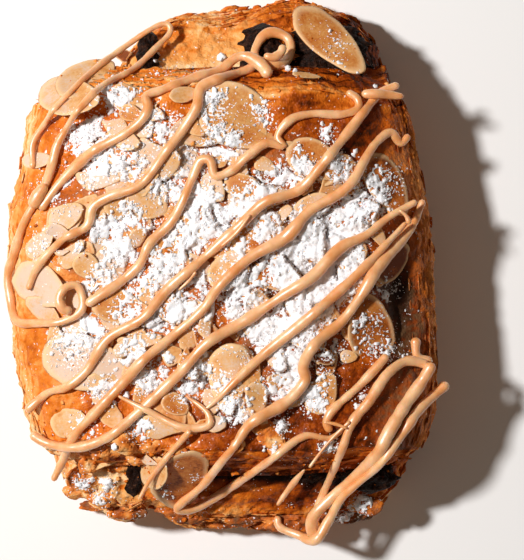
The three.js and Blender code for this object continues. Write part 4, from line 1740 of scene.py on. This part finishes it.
CREAM, BLOND, TAN, CARAMEL, BROWN = (toast.value for toast in Toast)
# Slices towards +X are given darker toasts: partly their own colour, partly painted shade on the side away
# from the light.
ALMOND_SLICES = tuple(Slice(*row) for row in (
    (25, 56, 22.5, 10, -45, 0.6, 0, 1.0), (-33.5, 47, 15, 8.5, 28, BLOND), (-37, 42, 16, 10, -15, BLOND),
    (3.5, 36.5, 21, 15, -25, TAN), (-23, 41, 9, 7, -60, TAN, 1), (5, 20, 11, 6, -20, TAN),
    (21.5, 26.5, 15, 9, -25, 0.7), (28, 23, 11, 8, -60, CARAMEL, 1), (38.5, 21, 17, 9, -60, 0.84),
    (31, 14, 12, 7, 20, CARAMEL), (8, 10, 15, 9, 20, TAN, 1), (-13, 3.5, 11, 8, -30, TAN, 1),
    (1.5, 1, 12, 8, 40, BLOND, 1), (-18.5, 16, 11, 7, -10, BLOND, 1), (-37.5, 13.5, 9, 6, 30, CREAM),
    (-44, -3, 15, 10, -30, CREAM), (-44, 7, 9, 5, 40, CREAM), (-32.5, 1.5, 7, 6, -45, BLOND),
    (-32.5, -21.5, 22, 13, -15, CREAM), (-20.5, -17, 12, 5, 20, BLOND, 2), (-24.5, -7.5, 14, 9, -10, TAN, 1),
    (-12.5, -9, 7, 6, -60, TAN), (1.5, -25, 17, 11, -90, BLOND, 1), (7.5, -30, 9, 5, -90, BLOND),
    (-15, -37, 12, 6, -15, BLOND, 3), (-37, -35.5, 9, 7, 20, BLOND), (-26, -33.5, 8, 7, -40, BLOND, 2),
    (-10.5, -49, 17, 12, 50, 0.76, 0, 1.0), (-16.8, -47.6, 8.8, 6.5, 66, BLOND), (23, -28.5, 11, 7, 65, TAN),
    (34.5, -12.9, 16.5, 11, 97, 0.78), (40, 2.5, 12, 6, 50, BROWN), (24, -10, 7, 5, -10, BLOND, 2),
    (-9.5, 42, 7, 4, 10, BLOND), (-7.5, 34.5, 7, 4, -40, BLOND, 2), (-11.5, -31, 7, 5, -30, TAN),
    (29.3, -19.8, 4.2, 3.2, 0, BLOND), (-45, 27, 8, 4, 0, CREAM), (-22, 37.5, 6, 4, -20, TAN),
    (-39.5, 9.5, 7, 4, -20, CREAM, 2), (-38.5, 5, 4, 2, 0, CREAM, 4), (-2, -35.5, 5, 4, 0, CREAM),
    (-17.5, -45, 5, 3, -20, CREAM, 3), (23, -19.5, 7, 4, -30, BROWN), (19.5, 47, 7, 1.5, -5, BLOND),
    (-25, 53.5, 6, 4, -35, BROWN, 3),
))


@dataclass
class AlmondSlices:
    """Thin slices of almond, pointed at one end, over a bed of broken ones; each lies on what is under it."""

    thickness: float = 0.85
    taper: float = 0.22
    steepest: float = 1.0
    tilt: float = 0.16
    columns: int = 40
    # Shares of the outline on the under side and the upper side of a slice
    shares: tuple[float, ...] = (0.3, 0.6, 0.8, 0.9, 0.96, 1.0)
    bed_middle: tuple[float, float] = (-4.0, 2.0)
    bed_reach: tuple[float, float] = (41.5, 38.5)
    bed_grid: int = 13
    seed: int = 61

    def bed(self, draw: np.random.Generator) -> list[Slice]:
        """Broken pieces on a shaken grid inside an oval, paler towards -X.

        Args:
            draw: random numbers.

        Returns:
            The pieces.
        """
        line = np.linspace(-1, 1, self.bed_grid)
        spot = np.stack(np.meshgrid(line, line), axis=-1).reshape(-1, 2)
        spot = spot + draw.uniform(-0.08, 0.08, spot.shape)
        spot = draw.permutation(spot[np.hypot(spot[:, 0], spot[:, 1]) < 1.0])
        place = np.array(self.bed_middle) + spot * np.array(self.bed_reach)
        count = len(spot)
        length = draw.uniform(5.5, 13.0, count)
        width = length * draw.uniform(0.5, 0.8, count)
        turn = draw.uniform(-180, 180, count)
        toast = np.clip(0.34 + 0.22 * spot[:, 0] + draw.normal(0, 0.2, count), 0.0, 0.95)
        breaks = draw.integers(1, 4, count)
        table = zip(place[:, 0], place[:, 1], length, width, turn, toast, breaks)
        return [Slice(*row) for row in table]

    def outline(self, piece: Slice, draw: np.random.Generator) -> tuple[Array, Array]:
        """Outline in the slice's plane: an oval narrowed towards +U, cut by straight breaks, finely dented.

        Args:
            piece: the slice.
            draw: random numbers.

        Returns:
            U and V of the outline.
        """
        turn = turns(self.columns)
        circle = np.stack([np.cos(turn), np.sin(turn), np.full_like(turn, draw.uniform(0, 99))], axis=-1)
        facing = draw.uniform(0, FULL_TURN, (piece.breaks, 1))
        depth = draw.uniform(0.35, 0.85, (piece.breaks, 1))
        cuts = depth / np.maximum(np.cos(turn - facing), 0.05)
        reach = cuts.min(axis=0, initial=1.0) * (1 + 0.05 * cloud(circle, 0.45, 3, self.seed))
        u = 0.5 * piece.length * np.cos(turn) * reach
        v = 0.5 * piece.width * np.sin(turn) * (1 - self.taper * np.cos(turn)) * reach
        return u, v

    def lie(self, terrain: Terrain, piece: Slice, axes: Array) -> Array:
        """Plane that a slice lies on.

        Heights are felt on a grid under the slice. A plane is fitted to them by least squares, its slopes are
        limited, and it is raised until the slice's share of the felt places lies under it.

        Args:
            terrain: what the slice lies on.
            piece: the slice.
            axes: the slice's U and V directions seen from above, shape (2, 2).

        Returns:
            Level in mm, and the slopes along U and V.
        """
        felt = np.linspace(-0.425, 0.425, 9)
        u, v = (part.ravel() for part in np.meshgrid(felt * piece.length, felt * piece.width))
        places = np.array([piece.x, piece.y]) + u[:, None] * axes[0] + v[:, None] * axes[1]
        heights = terrain.height(places[:, 0], places[:, 1])
        table = np.stack([np.ones_like(u), u, v], axis=-1)
        level, *slopes = np.linalg.lstsq(table, heights, rcond=None)[0]
        slopes = np.clip(slopes, -self.steepest, self.steepest)
        above = heights - (level + slopes[0] * u + slopes[1] * v)
        return np.array([level + np.quantile(above, piece.clear), *slopes])

    def build(self, bench: Bench) -> Piece:
        """Makes the slices one after the other, each on top of what lies there already.

        Args:
            bench: heights, sugar and finishes.

        Returns:
            The piece.
        """
        draw = np.random.default_rng(self.seed)
        batch = MeshBatch()
        share = np.array([*self.shares, *self.shares[-2::-1]])[:, None]
        side = np.repeat([-1.0, 0.0, 1.0], [len(self.shares) - 1, 1, len(self.shares) - 1])[:, None]
        bulge = 0.5 * self.thickness * side * np.sqrt(1 - share**12)
        rim = np.concatenate([[0.0], np.repeat(share[:, 0], self.columns), [0.0]])
        for order, piece in enumerate([*self.bed(draw), *ALMOND_SLICES]):
            turn = math.radians(piece.turn)
            origin = np.array([piece.x, piece.y])
            axes = np.array([[math.cos(turn), math.sin(turn)], [-math.sin(turn), math.cos(turn)]])
            level, *slopes = self.lie(bench.terrain, piece, axes)
            slope_u, slope_v = slopes + draw.uniform(-self.tilt, self.tilt, 2)
            curl = draw.uniform(-0.012, 0.018)
            u, v = self.outline(piece, draw)

            def place(plane_u: Array, plane_v: Array, lift: Array) -> Array:
                """Points of the slice in space: its plane, curled along U and V and waved by a cloud.

                Args:
                    plane_u: places along U.
                    plane_v: places along V.
                    lift: distances from the plane.

                Returns:
                    The points, in mm.
                """
                plan = origin + plane_u[..., None] * axes[0] + plane_v[..., None] * axes[1]
                wave = 0.25 * cloud(flat_points(plan[..., 0], plan[..., 1]), 7.0, 2, self.seed + order)
                z = level + slope_u * plane_u + slope_v * plane_v
                z = z + 0.3 * self.thickness + wave + lift + curl * (plane_u**2 - 2 * plane_v**2)
                return np.concatenate([plan, z[..., None]], axis=-1)

            rings = place(share * u, share * v, bulge + 0 * u)
            poles = place(np.zeros(2), np.zeros(2), 0.5 * self.thickness * np.array([-1.0, 1.0]))
            points = np.concatenate([poles[:1], rings.reshape(-1, 3), poles[1:]])
            dust = bench.drifts.coverage(points[:, 0], points[:, 1])
            end = np.concatenate([[0.0], (share * u).ravel() / piece.length, [0.0]])
            toast_and_shade = piece.toast + draw.uniform(-0.07, 0.07) + draw.uniform(-0.3, 0.3) * end
            batch.add_closed(rings[None], poles[None], toast=toast_and_shade, rim=rim, dust=dust)
            closed = np.concatenate([rings, np.repeat(poles[1:, None], self.columns, axis=1)])
            bench.terrain.drape(closed, 6)
        return batch.to_object("almond_slices", bench.finish[Slot.ALMOND])


# Icing


@dataclass(frozen=True)
class Stroke:
    """One stroke of icing: its widths at even shares of its length, and the points that it passes over."""

    widths: tuple[float, ...]
    points: tuple[tuple[float, float], ...]


ICING_STROKES = tuple(Stroke(*row) for row in (
    ((1.4, 1.4, 1.3, 1.7, 2.0, 2.0, 2.0, 2.0), (
        (-46, 25), (-46, 31), (-43, 35.5), (-34, 46), (-28.5, 51.5), (-20, 58), (-15.5, 60.5), (-13.8, 60.2),
        (-13.5, 58.5), (-16, 55.5), (-22.5, 48.5), (-28, 45), (-34, 38.5), (-39.5, 31), (-41, 26),
        (-43, 20.5), (-47, 14), (-49, 10), (-51, 4), (-52.5, -0.5), (-52, -5.5), (-50, -11.5), (-44.5, -12),
        (-38.5, -11.5), (-34, -9), (-33.5, -6.5), (-35, -3), (-37.5, -3.5), (-39, -6), (-38, -8.5),
        (-36, -9))),
    ((2.3, 2.2, 2.2, 2.3, 2.2, 2.1, 2.0), (
        (-32.5, -7.5), (-31, -6.5), (-25, -2.5), (-20, 2), (-17.5, 7), (-12.5, 12), (-10, 16.5), (-7.5, 22.5),
        (-5.5, 26.5), (-3.5, 26.5), (-2.2, 22.8), (1.5, 24), (5.5, 27.5), (10, 30.5), (13.8, 29.8),
        (12.5, 32), (15.5, 36), (20.5, 37.5), (28, 37.5), (31.5, 39), (31.5, 41), (29, 43))),
    ((1.6, 2.2, 2.2, 2.3, 2.5, 2.4), (
        (-47, -4), (-44.5, 1.5), (-38, 8), (-32.5, 11), (-31, 15.5), (-27, 18), (-20, 20.5), (-14, 28),
        (-9.5, 34), (-6.5, 39), (-5.5, 43.5), (0.5, 46.5), (7.5, 50), (7, 53), (9, 57), (11.5, 58),
        (15, 56.5), (15.7, 54), (14, 50.5), (11, 49.7), (8.5, 51))),
    ((2.0, 2.2, 2.3, 2.3, 2.6, 3.0), (
        (-44, 15), (-39, 21.5), (-32, 28), (-23, 33), (-19, 36.5), (-18, 39), (-18.5, 41.5), (-15, 43),
        (-6.5, 46.5), (-1, 48.5), (3, 51.5), (5.5, 51.5), (9, 49), (10.5, 46.5))),
    ((2.6, 3.2, 2.4), ((-46, 15.5), (-44.3, 18.5), (-42.5, 21))),
    ((1.8, 2.4, 2.3, 2.3, 2.2, 2.1), (
        (41.5, 45), (37, 43), (34, 39.5), (29, 33), (23, 25.5), (17.5, 19.5), (9.5, 16.5), (3.5, 11),
        (-6, 2.5), (-13.5, -4), (-19, -10.5), (-27.5, -15.5), (-33, -23.5), (-37.5, -27), (-42, -28.5),
        (-47.5, -33))),
    ((1.6, 2.2, 2.0), ((42.5, 42), (37.5, 42.5), (32.5, 42.5))),
    ((1.8, 2.4, 2.9, 2.3, 2.4, 2.3, 1.7), (
        (44, 33), (42, 31), (39.5, 33.5), (36, 31), (33, 26.5), (30.5, 22), (27.5, 19), (20, 14.5),
        (14.5, 8.5), (6, 3.5), (-1.5, -3.5), (-5, -8.5), (-13, -15.5), (-19, -20.5), (-24, -26),
        (-31.5, -34), (-36, -39), (-39.5, -46), (-41.5, -50))),
    ((1.4, 2.6, 2.6, 2.5, 2.4, 2.2), (
        (45.5, 17), (38.5, 13), (33.5, 9), (27.5, 6), (20.5, -1), (13.5, -5.5), (4.5, -11.5), (-4, -16.5),
        (-10.5, -23.5), (-20.5, -33), (-28, -39), (-36, -41.5), (-43, -40.5), (-46.5, -38.5))),
    ((0.9, 2.2, 2.3, 2.2, 2.0, 0.7), (
        (43, 12), (37, 5.5), (29.5, -2), (18, -12), (10, -18.5), (3.5, -24.5), (-2, -30), (-5, -32.5))),
    ((1.8, 2.7, 2.7, 2.6, 2.6, 1.8, 2.0, 2.2, 2.2, 1.0), (
        (47.5, 17.5), (44.5, 11), (36, 1), (32, -5.5), (27.5, -11.5), (21, -17), (18.5, -22), (19, -25),
        (15, -30), (6, -35.5), (2.5, -40.5), (-1, -45), (-5.5, -51), (-10.5, -55.5), (-11.8, -57.2),
        (-9.5, -57.6), (-7, -57), (-1, -53.5), (8, -46.5), (19, -38.5), (25, -39), (29, -36))),
    ((0.7, 1.6, 1.9, 1.8, 0.7), (
        (-25, -29), (-18, -32.5), (-9, -36.5), (-3.5, -35.5), (-4, -33), (-9, -29))),
    ((1.5, 1.3, 0.8), ((-8, -37), (-14, -44), (-18, -49.5), (-20.5, -54))),
    ((2.5, 2.2, 2.1), ((38.5, -19.5), (32.5, -26), (25, -33), (24, -35.5), (25, -37.5))),
    ((2.9, 1.7, 2.4), ((45.5, -15.5), (46, -20), (49.5, -21.5))),
    ((2.2, 2.4, 2.2, 2.0, 1.8), (
        (48.5, -22), (43.5, -21), (39, -23.5), (34, -30.5), (30, -35.5), (28, -41), (26, -47), (23.5, -54),
        (22, -57.5))),
    ((2.7, 3.0, 2.9, 2.6, 2.8), (
        (49.5, -21.5), (46.5, -26.5), (42.5, -32), (38.5, -38.5), (36, -43.5), (31, -49.5), (25.5, -54.5),
        (21.4, -59), (20.8, -61.8), (21.6, -64.4))),
    ((2.4, 2.4, 1.7, 1.9, 2.4, 2.0), (
        (53.5, -26.5), (46, -33), (42, -38.5), (36.5, -46), (28, -54.5), (25, -60), (21.5, -65), (17.5, -64),
        (13, -62), (12.5, -59.5))),
    ((0.9, 0.7, 0.8), ((29.5, -35), (24.5, -40), (20, -46))),
    ((0.8, 1.5, 1.4, 0.9), ((19, -47), (16, -51), (12.5, -56))),
    ((0.5, 0.8, 0.6), ((-10.7, -4), (-8.5, -2), (-6.7, 0.2))),
    ((0.7, 0.9, 0.6), ((6, 13.5), (3, 9.5), (-0.7, 6.2))),
    ((0.6, 0.9, 0.7), ((23.3, -35.2), (26, -35.6), (28.8, -36.6))),
    ((1.6, 2.2, 1.8), ((9.3, 51.8), (11.5, 51.4), (13.3, 52.6), (13.9, 54.4))),
    ((1.4, 1.0, 0.6), ((43.8, 11.6), (43.0, 13.4), (41.4, 14.9))),
))


@dataclass
class Icing:
    """Strokes of caramel icing: round beads laid over the food, which span the dips between high spots."""

    step: float = 0.5
    sides: int = 16
    ride: float = 0.5
    flatness: float = 0.88
    bend_radius: float = 13.0
    span: float = 9.0
    fall: float = 1.3
    self_gap: float = 6.0
    seed: int = 81

    def settle(self, floor: Array) -> Array:
        """Height of a stroke over the floor under it.

        The floor is raised by a parabola of the bend radius round each point and lowered again by the same
        parabola, which leaves bridges over the dips. A last pass keeps every fall under a slope.

        Args:
            floor: lowest heights along the stroke.

        Returns:
            Heights along the stroke.
        """
        count = round(self.span / self.step)
        away = np.arange(-count, count + 1) * self.step
        drop = away**2 / (2 * self.bend_radius)
        raised = (sliding_window_view(np.pad(floor, count, mode="edge"), len(away)) - drop).max(axis=1)
        bridged = (sliding_window_view(np.pad(raised, count, mode="edge"), len(away)) + drop).min(axis=1)
        hung = np.pad(bridged, count, mode="edge")
        return (sliding_window_view(hung, len(away)) - self.fall * np.abs(away)).max(axis=1)

    def lay(self, plan: Array, radius: Array, terrain: Terrain) -> Array:
        """Middle line of a stroke in space, over the food and over its own earlier loops.

        Args:
            plan: X and Y along the stroke.
            radius: radii along the stroke.
            terrain: what the stroke lies on.

        Returns:
            Points of the middle line.
        """
        tangent = unit(np.gradient(plan, axis=0))
        side = np.stack([-tangent[:, 1], tangent[:, 0]], axis=-1)
        felt = [plan + side * (radius * share)[:, None] for share in (-0.5, 0.0, 0.5)]
        floor = np.max([terrain.height(place[:, 0], place[:, 1]) for place in felt], axis=0)
        floor = np.maximum(floor + self.ride * radius, radius)
        level = self.settle(floor)
        apart = np.linalg.norm(plan[:, None] - plan[None], axis=-1) / (1.7 * radius[:, None])
        order = np.arange(len(plan))
        crossed = ((order[:, None] - order[None]) * self.step > self.self_gap) & (apart < 1)
        hump = level[None] + 1.6 * radius[:, None] * np.sqrt(np.maximum(0.0, 1 - apart**2))
        floor = np.maximum(floor, np.where(crossed, hump, 0.0).max(axis=1))
        level = self.settle(floor)
        soft = np.convolve(np.pad(level, 2, mode="edge"), np.full(5, 0.2), mode="valid")
        return np.concatenate([plan, soft[:, None]], axis=-1)

    def bead(self, line: Array, radius: Array) -> Array:
        """Rings of a round bead along a line, a little flattened, with rounded ends.

        Args:
            line: middle line.
            radius: radii along it.

        Returns:
            Rings, shape (points, sides, 3).
        """
        tangent = unit(np.gradient(line, axis=0))
        side = unit(np.cross(UP, tangent))
        lift = np.cross(tangent, side)
        along = lengths_along(line)
        inward = np.minimum(along, along[-1] - along) + 0.1
        round_end = np.sqrt(1 - (1 - np.minimum(1.0, inward / radius)) ** 2)
        turn = turns(self.sides)
        reach = (radius * round_end)[:, None, None]
        across = side[:, None] * np.cos(turn)[None, :, None]
        upward = lift[:, None] * (self.flatness * np.sin(turn))[None, :, None]
        return line[:, None] + reach * (across + upward)

    def build(self, bench: Bench) -> Piece:
        """Makes the strokes one after the other, each over those before it.

        Args:
            bench: heights, sugar and finishes.

        Returns:
            The piece.
        """
        batch = MeshBatch()
        for order, stroke in enumerate(ICING_STROKES):
            plan = smooth_path(np.array(stroke.points, float), self.step)
            along = np.arange(len(plan)) * self.step
            spot = np.stack([along, 0 * along, 0 * along + 9 * order], axis=-1)
            uneven = cloud(spot, 7.0, 2, self.seed) + 0.6 * cloud(spot, 2.2, 2, self.seed + 1)
            width = np.interp(along, np.linspace(0, along[-1], len(stroke.widths)), stroke.widths)
            radius = 0.5 * width * (1 + 0.14 * uneven)
            line = self.lay(plan, radius, bench.terrain)
            rings = self.bead(line, radius)
            ends = line[[0, -1]] + 0.1 * (line[[0, -1]] - line[[1, -2]])
            batch.add_closed(rings[None], ends[None])
            bench.terrain.drape(rings, 3)
        return batch.to_object("icing_strokes", bench.finish[Slot.ICING])


# Loose crust


@dataclass
class LooseCrust:
    """Thin flakes that lift off the sides and ends, and small crumbs."""

    flakes: int = 420
    flake_columns: int = 10
    flake_thickness: float = 0.22
    flake_glaze: float = 0.3
    crumbs: int = 320
    crumb_glaze: float = 0.1
    crumb_half_x: float = 46.0
    crumb_half_y: float = 62.0
    crumb_tries: int = 8
    crumb_lowest: float = 12.0
    crumbly: Zone = Zone(0.8, x=(-14, -22), y=(-34, -40))
    seed: int = 91

    def build_flakes(self, skins: list[Skin], bench: Bench) -> Piece:
        """Makes flakes: thin leaves that lie along the skin, are held at one edge and bend out at the other.

        Args:
            skins: dough forms that the flakes lift off.
            bench: finishes.

        Returns:
            The piece.
        """
        draw = np.random.default_rng(self.seed)
        batch = MeshBatch()
        for skin in skins:
            frayed = eased(36, 45, skin.rings[..., 0])
            steep = (skin.top < 0.5 + 0.45 * frayed) & (skin.rings[..., 2] > 5.0)
            steep[[0, 1, -2, -1]] = False
            rows, columns = np.nonzero(steep)
            chance = 1 + 3 * frayed[steep] * eased(15, 25, skin.rings[steep][:, 2])
            picked = draw.choice(len(rows), self.flakes // len(skins), replace=False, p=chance / chance.sum())
            row, column = rows[picked], columns[picked]
            anchor, out = skin.rings[row, column], skin.normals[row, column]
            along = unit(np.cross(UP, out))
            upward = np.cross(out, along)
            length = draw.uniform(1.0, 3.0 + 0.4 * frayed[row, column])
            width = draw.uniform(0.4, 1.2 - 0.4 * frayed[row, column])
            lift = draw.uniform(0.1, 0.6, len(picked)) * (1 - 0.4 * frayed[row, column])
            turn = turns(self.flake_columns)
            share = np.array([0.6, 1.0, 0.6])[:, None]
            dents = 1 + 0.4 * draw.uniform(-1, 1, (len(picked), 1, self.flake_columns))
            u = length[:, None, None] * share * np.cos(turn) * dents
            v = width[:, None, None] * share * np.sin(turn) * dents
            half = 0.5 * self.flake_thickness * np.array([-1.0, 0.0, 1.0])[:, None]
            raised = lift[:, None, None] * (1 + v / width[:, None, None]) ** 2 * 0.5 + half
            rings = anchor[:, None, None] + u[..., None] * along[:, None, None]
            rings = rings + v[..., None] * upward[:, None, None] + raised[..., None] * out[:, None, None]
            middle = np.stack([rings[:, 0].mean(axis=1), rings[:, 2].mean(axis=1)], axis=1)
            # Flakes get darker towards +X: painted shade on the side away from the light.
            bake = draw.uniform(0.15, 0.5, (len(picked), 1)) + 0.22 * np.tanh(anchor[:, :1] / 25)
            dry = frayed[row, column][:, None]
            batch.add_closed(rings, middle, bake=bake, glaze=self.flake_glaze, dust=0.0, dry=dry)
        return batch.to_object("crust_flakes", bench.finish[Slot.CRUST])

    def build_crumbs(self, bench: Bench) -> Piece:
        """Makes crumbs: small uneven balls strewn over the ends and, more thinly, over the top.

        Args:
            bench: heights, sugar and finishes.

        Returns:
            The piece.
        """
        draw = np.random.default_rng(self.seed + 1)
        x = draw.uniform(-self.crumb_half_x, self.crumb_half_x, self.crumbs * self.crumb_tries)
        y = draw.uniform(-self.crumb_half_y, self.crumb_half_y, self.crumbs * self.crumb_tries)
        chance = 0.03 + zoned((self.crumbly,), flat_points(x, y)) + 0.12 * eased(40, 48, np.abs(y))
        height = bench.terrain.height(x, y)
        kept = (draw.uniform(0, 1, len(x)) < chance) & (height > self.crumb_lowest)
        x, y, height = (part[kept][: self.crumbs] for part in (x, y, height))
        radius = 0.15 + 0.45 * draw.uniform(0, 1, len(x)) ** 2.5
        centre = np.stack([x, y, height + 0.15 * radius], axis=-1)
        rings, poles = lumps(centre, radius, 3, 6, 0.45, draw)
        bake = draw.uniform(0.25, 0.6, (len(x), 1))
        batch = MeshBatch()
        batch.add_closed(rings, poles, bake=bake, glaze=self.crumb_glaze, dust=0.0, dry=0.0)
        return batch.to_object("crumbs", bench.finish[Slot.CRUST])


# Studio


@dataclass
class Studio:
    """Pale floor, soft key light from the left, even fill, and a camera that looks straight down."""

    floor_half: float = 1.5
    floor_colour: Colour = (244, 242, 240)
    floor_rough: float = 0.8
    camera_place: tuple[float, float, float] = (8.39, -3.01, 589.02)
    lens: float = 150.0
    sensor: float = 36.0
    key_direction: tuple[float, float, float] = (0.55, -0.16, -0.82)
    key_distance: float = 900.0
    key_size: float = 80.0
    key_power: float = 9.3
    fill_colour: tuple[float, float, float, float] = (1.0, 0.82, 0.66, 1.0)
    fill_strength: float = 0.13

    def build(self) -> None:
        """Makes the floor, the light and the camera."""
        scene = bpy.context.scene
        corner = self.floor_half
        mesh = bpy.data.meshes.new("floor")
        corners = [(-corner, -corner, 0), (corner, -corner, 0), (corner, corner, 0), (-corner, corner, 0)]
        mesh.from_pydata(corners, [], [(0, 1, 2, 3)])
        floor = bpy.data.objects.new("floor", mesh)
        scene.collection.objects.link(floor)
        material, nodes, shader = new_material("pale_floor")
        nodes.feed(shader, {"Base Color": linear(self.floor_colour), "Roughness": self.floor_rough})
        mesh.materials.append(material)

        light = bpy.data.lights.new("key", "AREA")
        light.shape = "DISK"
        light.size = self.key_size * MM
        light.energy = self.key_power
        key = bpy.data.objects.new("key", light)
        direction = Vector(self.key_direction).normalized()
        key.location = -direction * self.key_distance * MM
        key.rotation_euler = direction.to_track_quat("-Z", "Y").to_euler()
        scene.collection.objects.link(key)

        world = bpy.data.worlds.new("fill")
        world.use_nodes = True
        background = world.node_tree.nodes["Background"]
        background.inputs["Color"].default_value = self.fill_colour
        background.inputs["Strength"].default_value = self.fill_strength
        scene.world = world
        scene.view_settings.view_transform = "Standard"

        lens = bpy.data.cameras.new("camera")
        lens.lens = self.lens
        lens.sensor_width = self.sensor
        camera = bpy.data.objects.new("camera", lens)
        camera.location = Vector(self.camera_place) * MM
        scene.collection.objects.link(camera)
        scene.camera = camera


def main() -> None:
    """Builds the pieces from the inside out, then the studio."""
    logging.basicConfig(level=logging.INFO, format="%(message)s")
    effects = SharedEffects()
    finishes = {
        Slot.CRUST: CrustFinish(), Slot.CHOCOLATE: ChocolateFinish(), Slot.ALMOND: AlmondFinish(),
        Slot.ICING: IcingFinish(), Slot.SUGAR: SugarFinish(),
    }
    drifts = SugarDrifts()
    bench = Bench(Terrain(), drifts, {slot: finish.material(effects) for slot, finish in finishes.items()})
    wrap, coil, loose = Wrap(), Coil(), LooseCrust()

    hand_in(wrap.build(bench), Slot.CRUST, "pastry")
    hand_in(coil.build(bench), Slot.CRUST)
    for stick in STICKS:
        hand_in(stick.build(bench), Slot.CHOCOLATE, stick.node)
    hand_in(CreamLumps().build(bench), Slot.CRUST)
    hand_in(loose.build_flakes([wrap.skin, coil.skin], bench), Slot.CRUST)
    hand_in(AlmondSlices().build(bench), Slot.ALMOND)
    hand_in(loose.build_crumbs(bench), Slot.CRUST)
    hand_in(drifts.build_heaps(bench), Slot.SUGAR)
    hand_in(drifts.build_clumps(bench), Slot.SUGAR)
    hand_in(drifts.build_grains(bench), Slot.SUGAR)
    hand_in(Icing().build(bench), Slot.ICING)
    Studio().build()


if __name__ == "__main__":
    main()
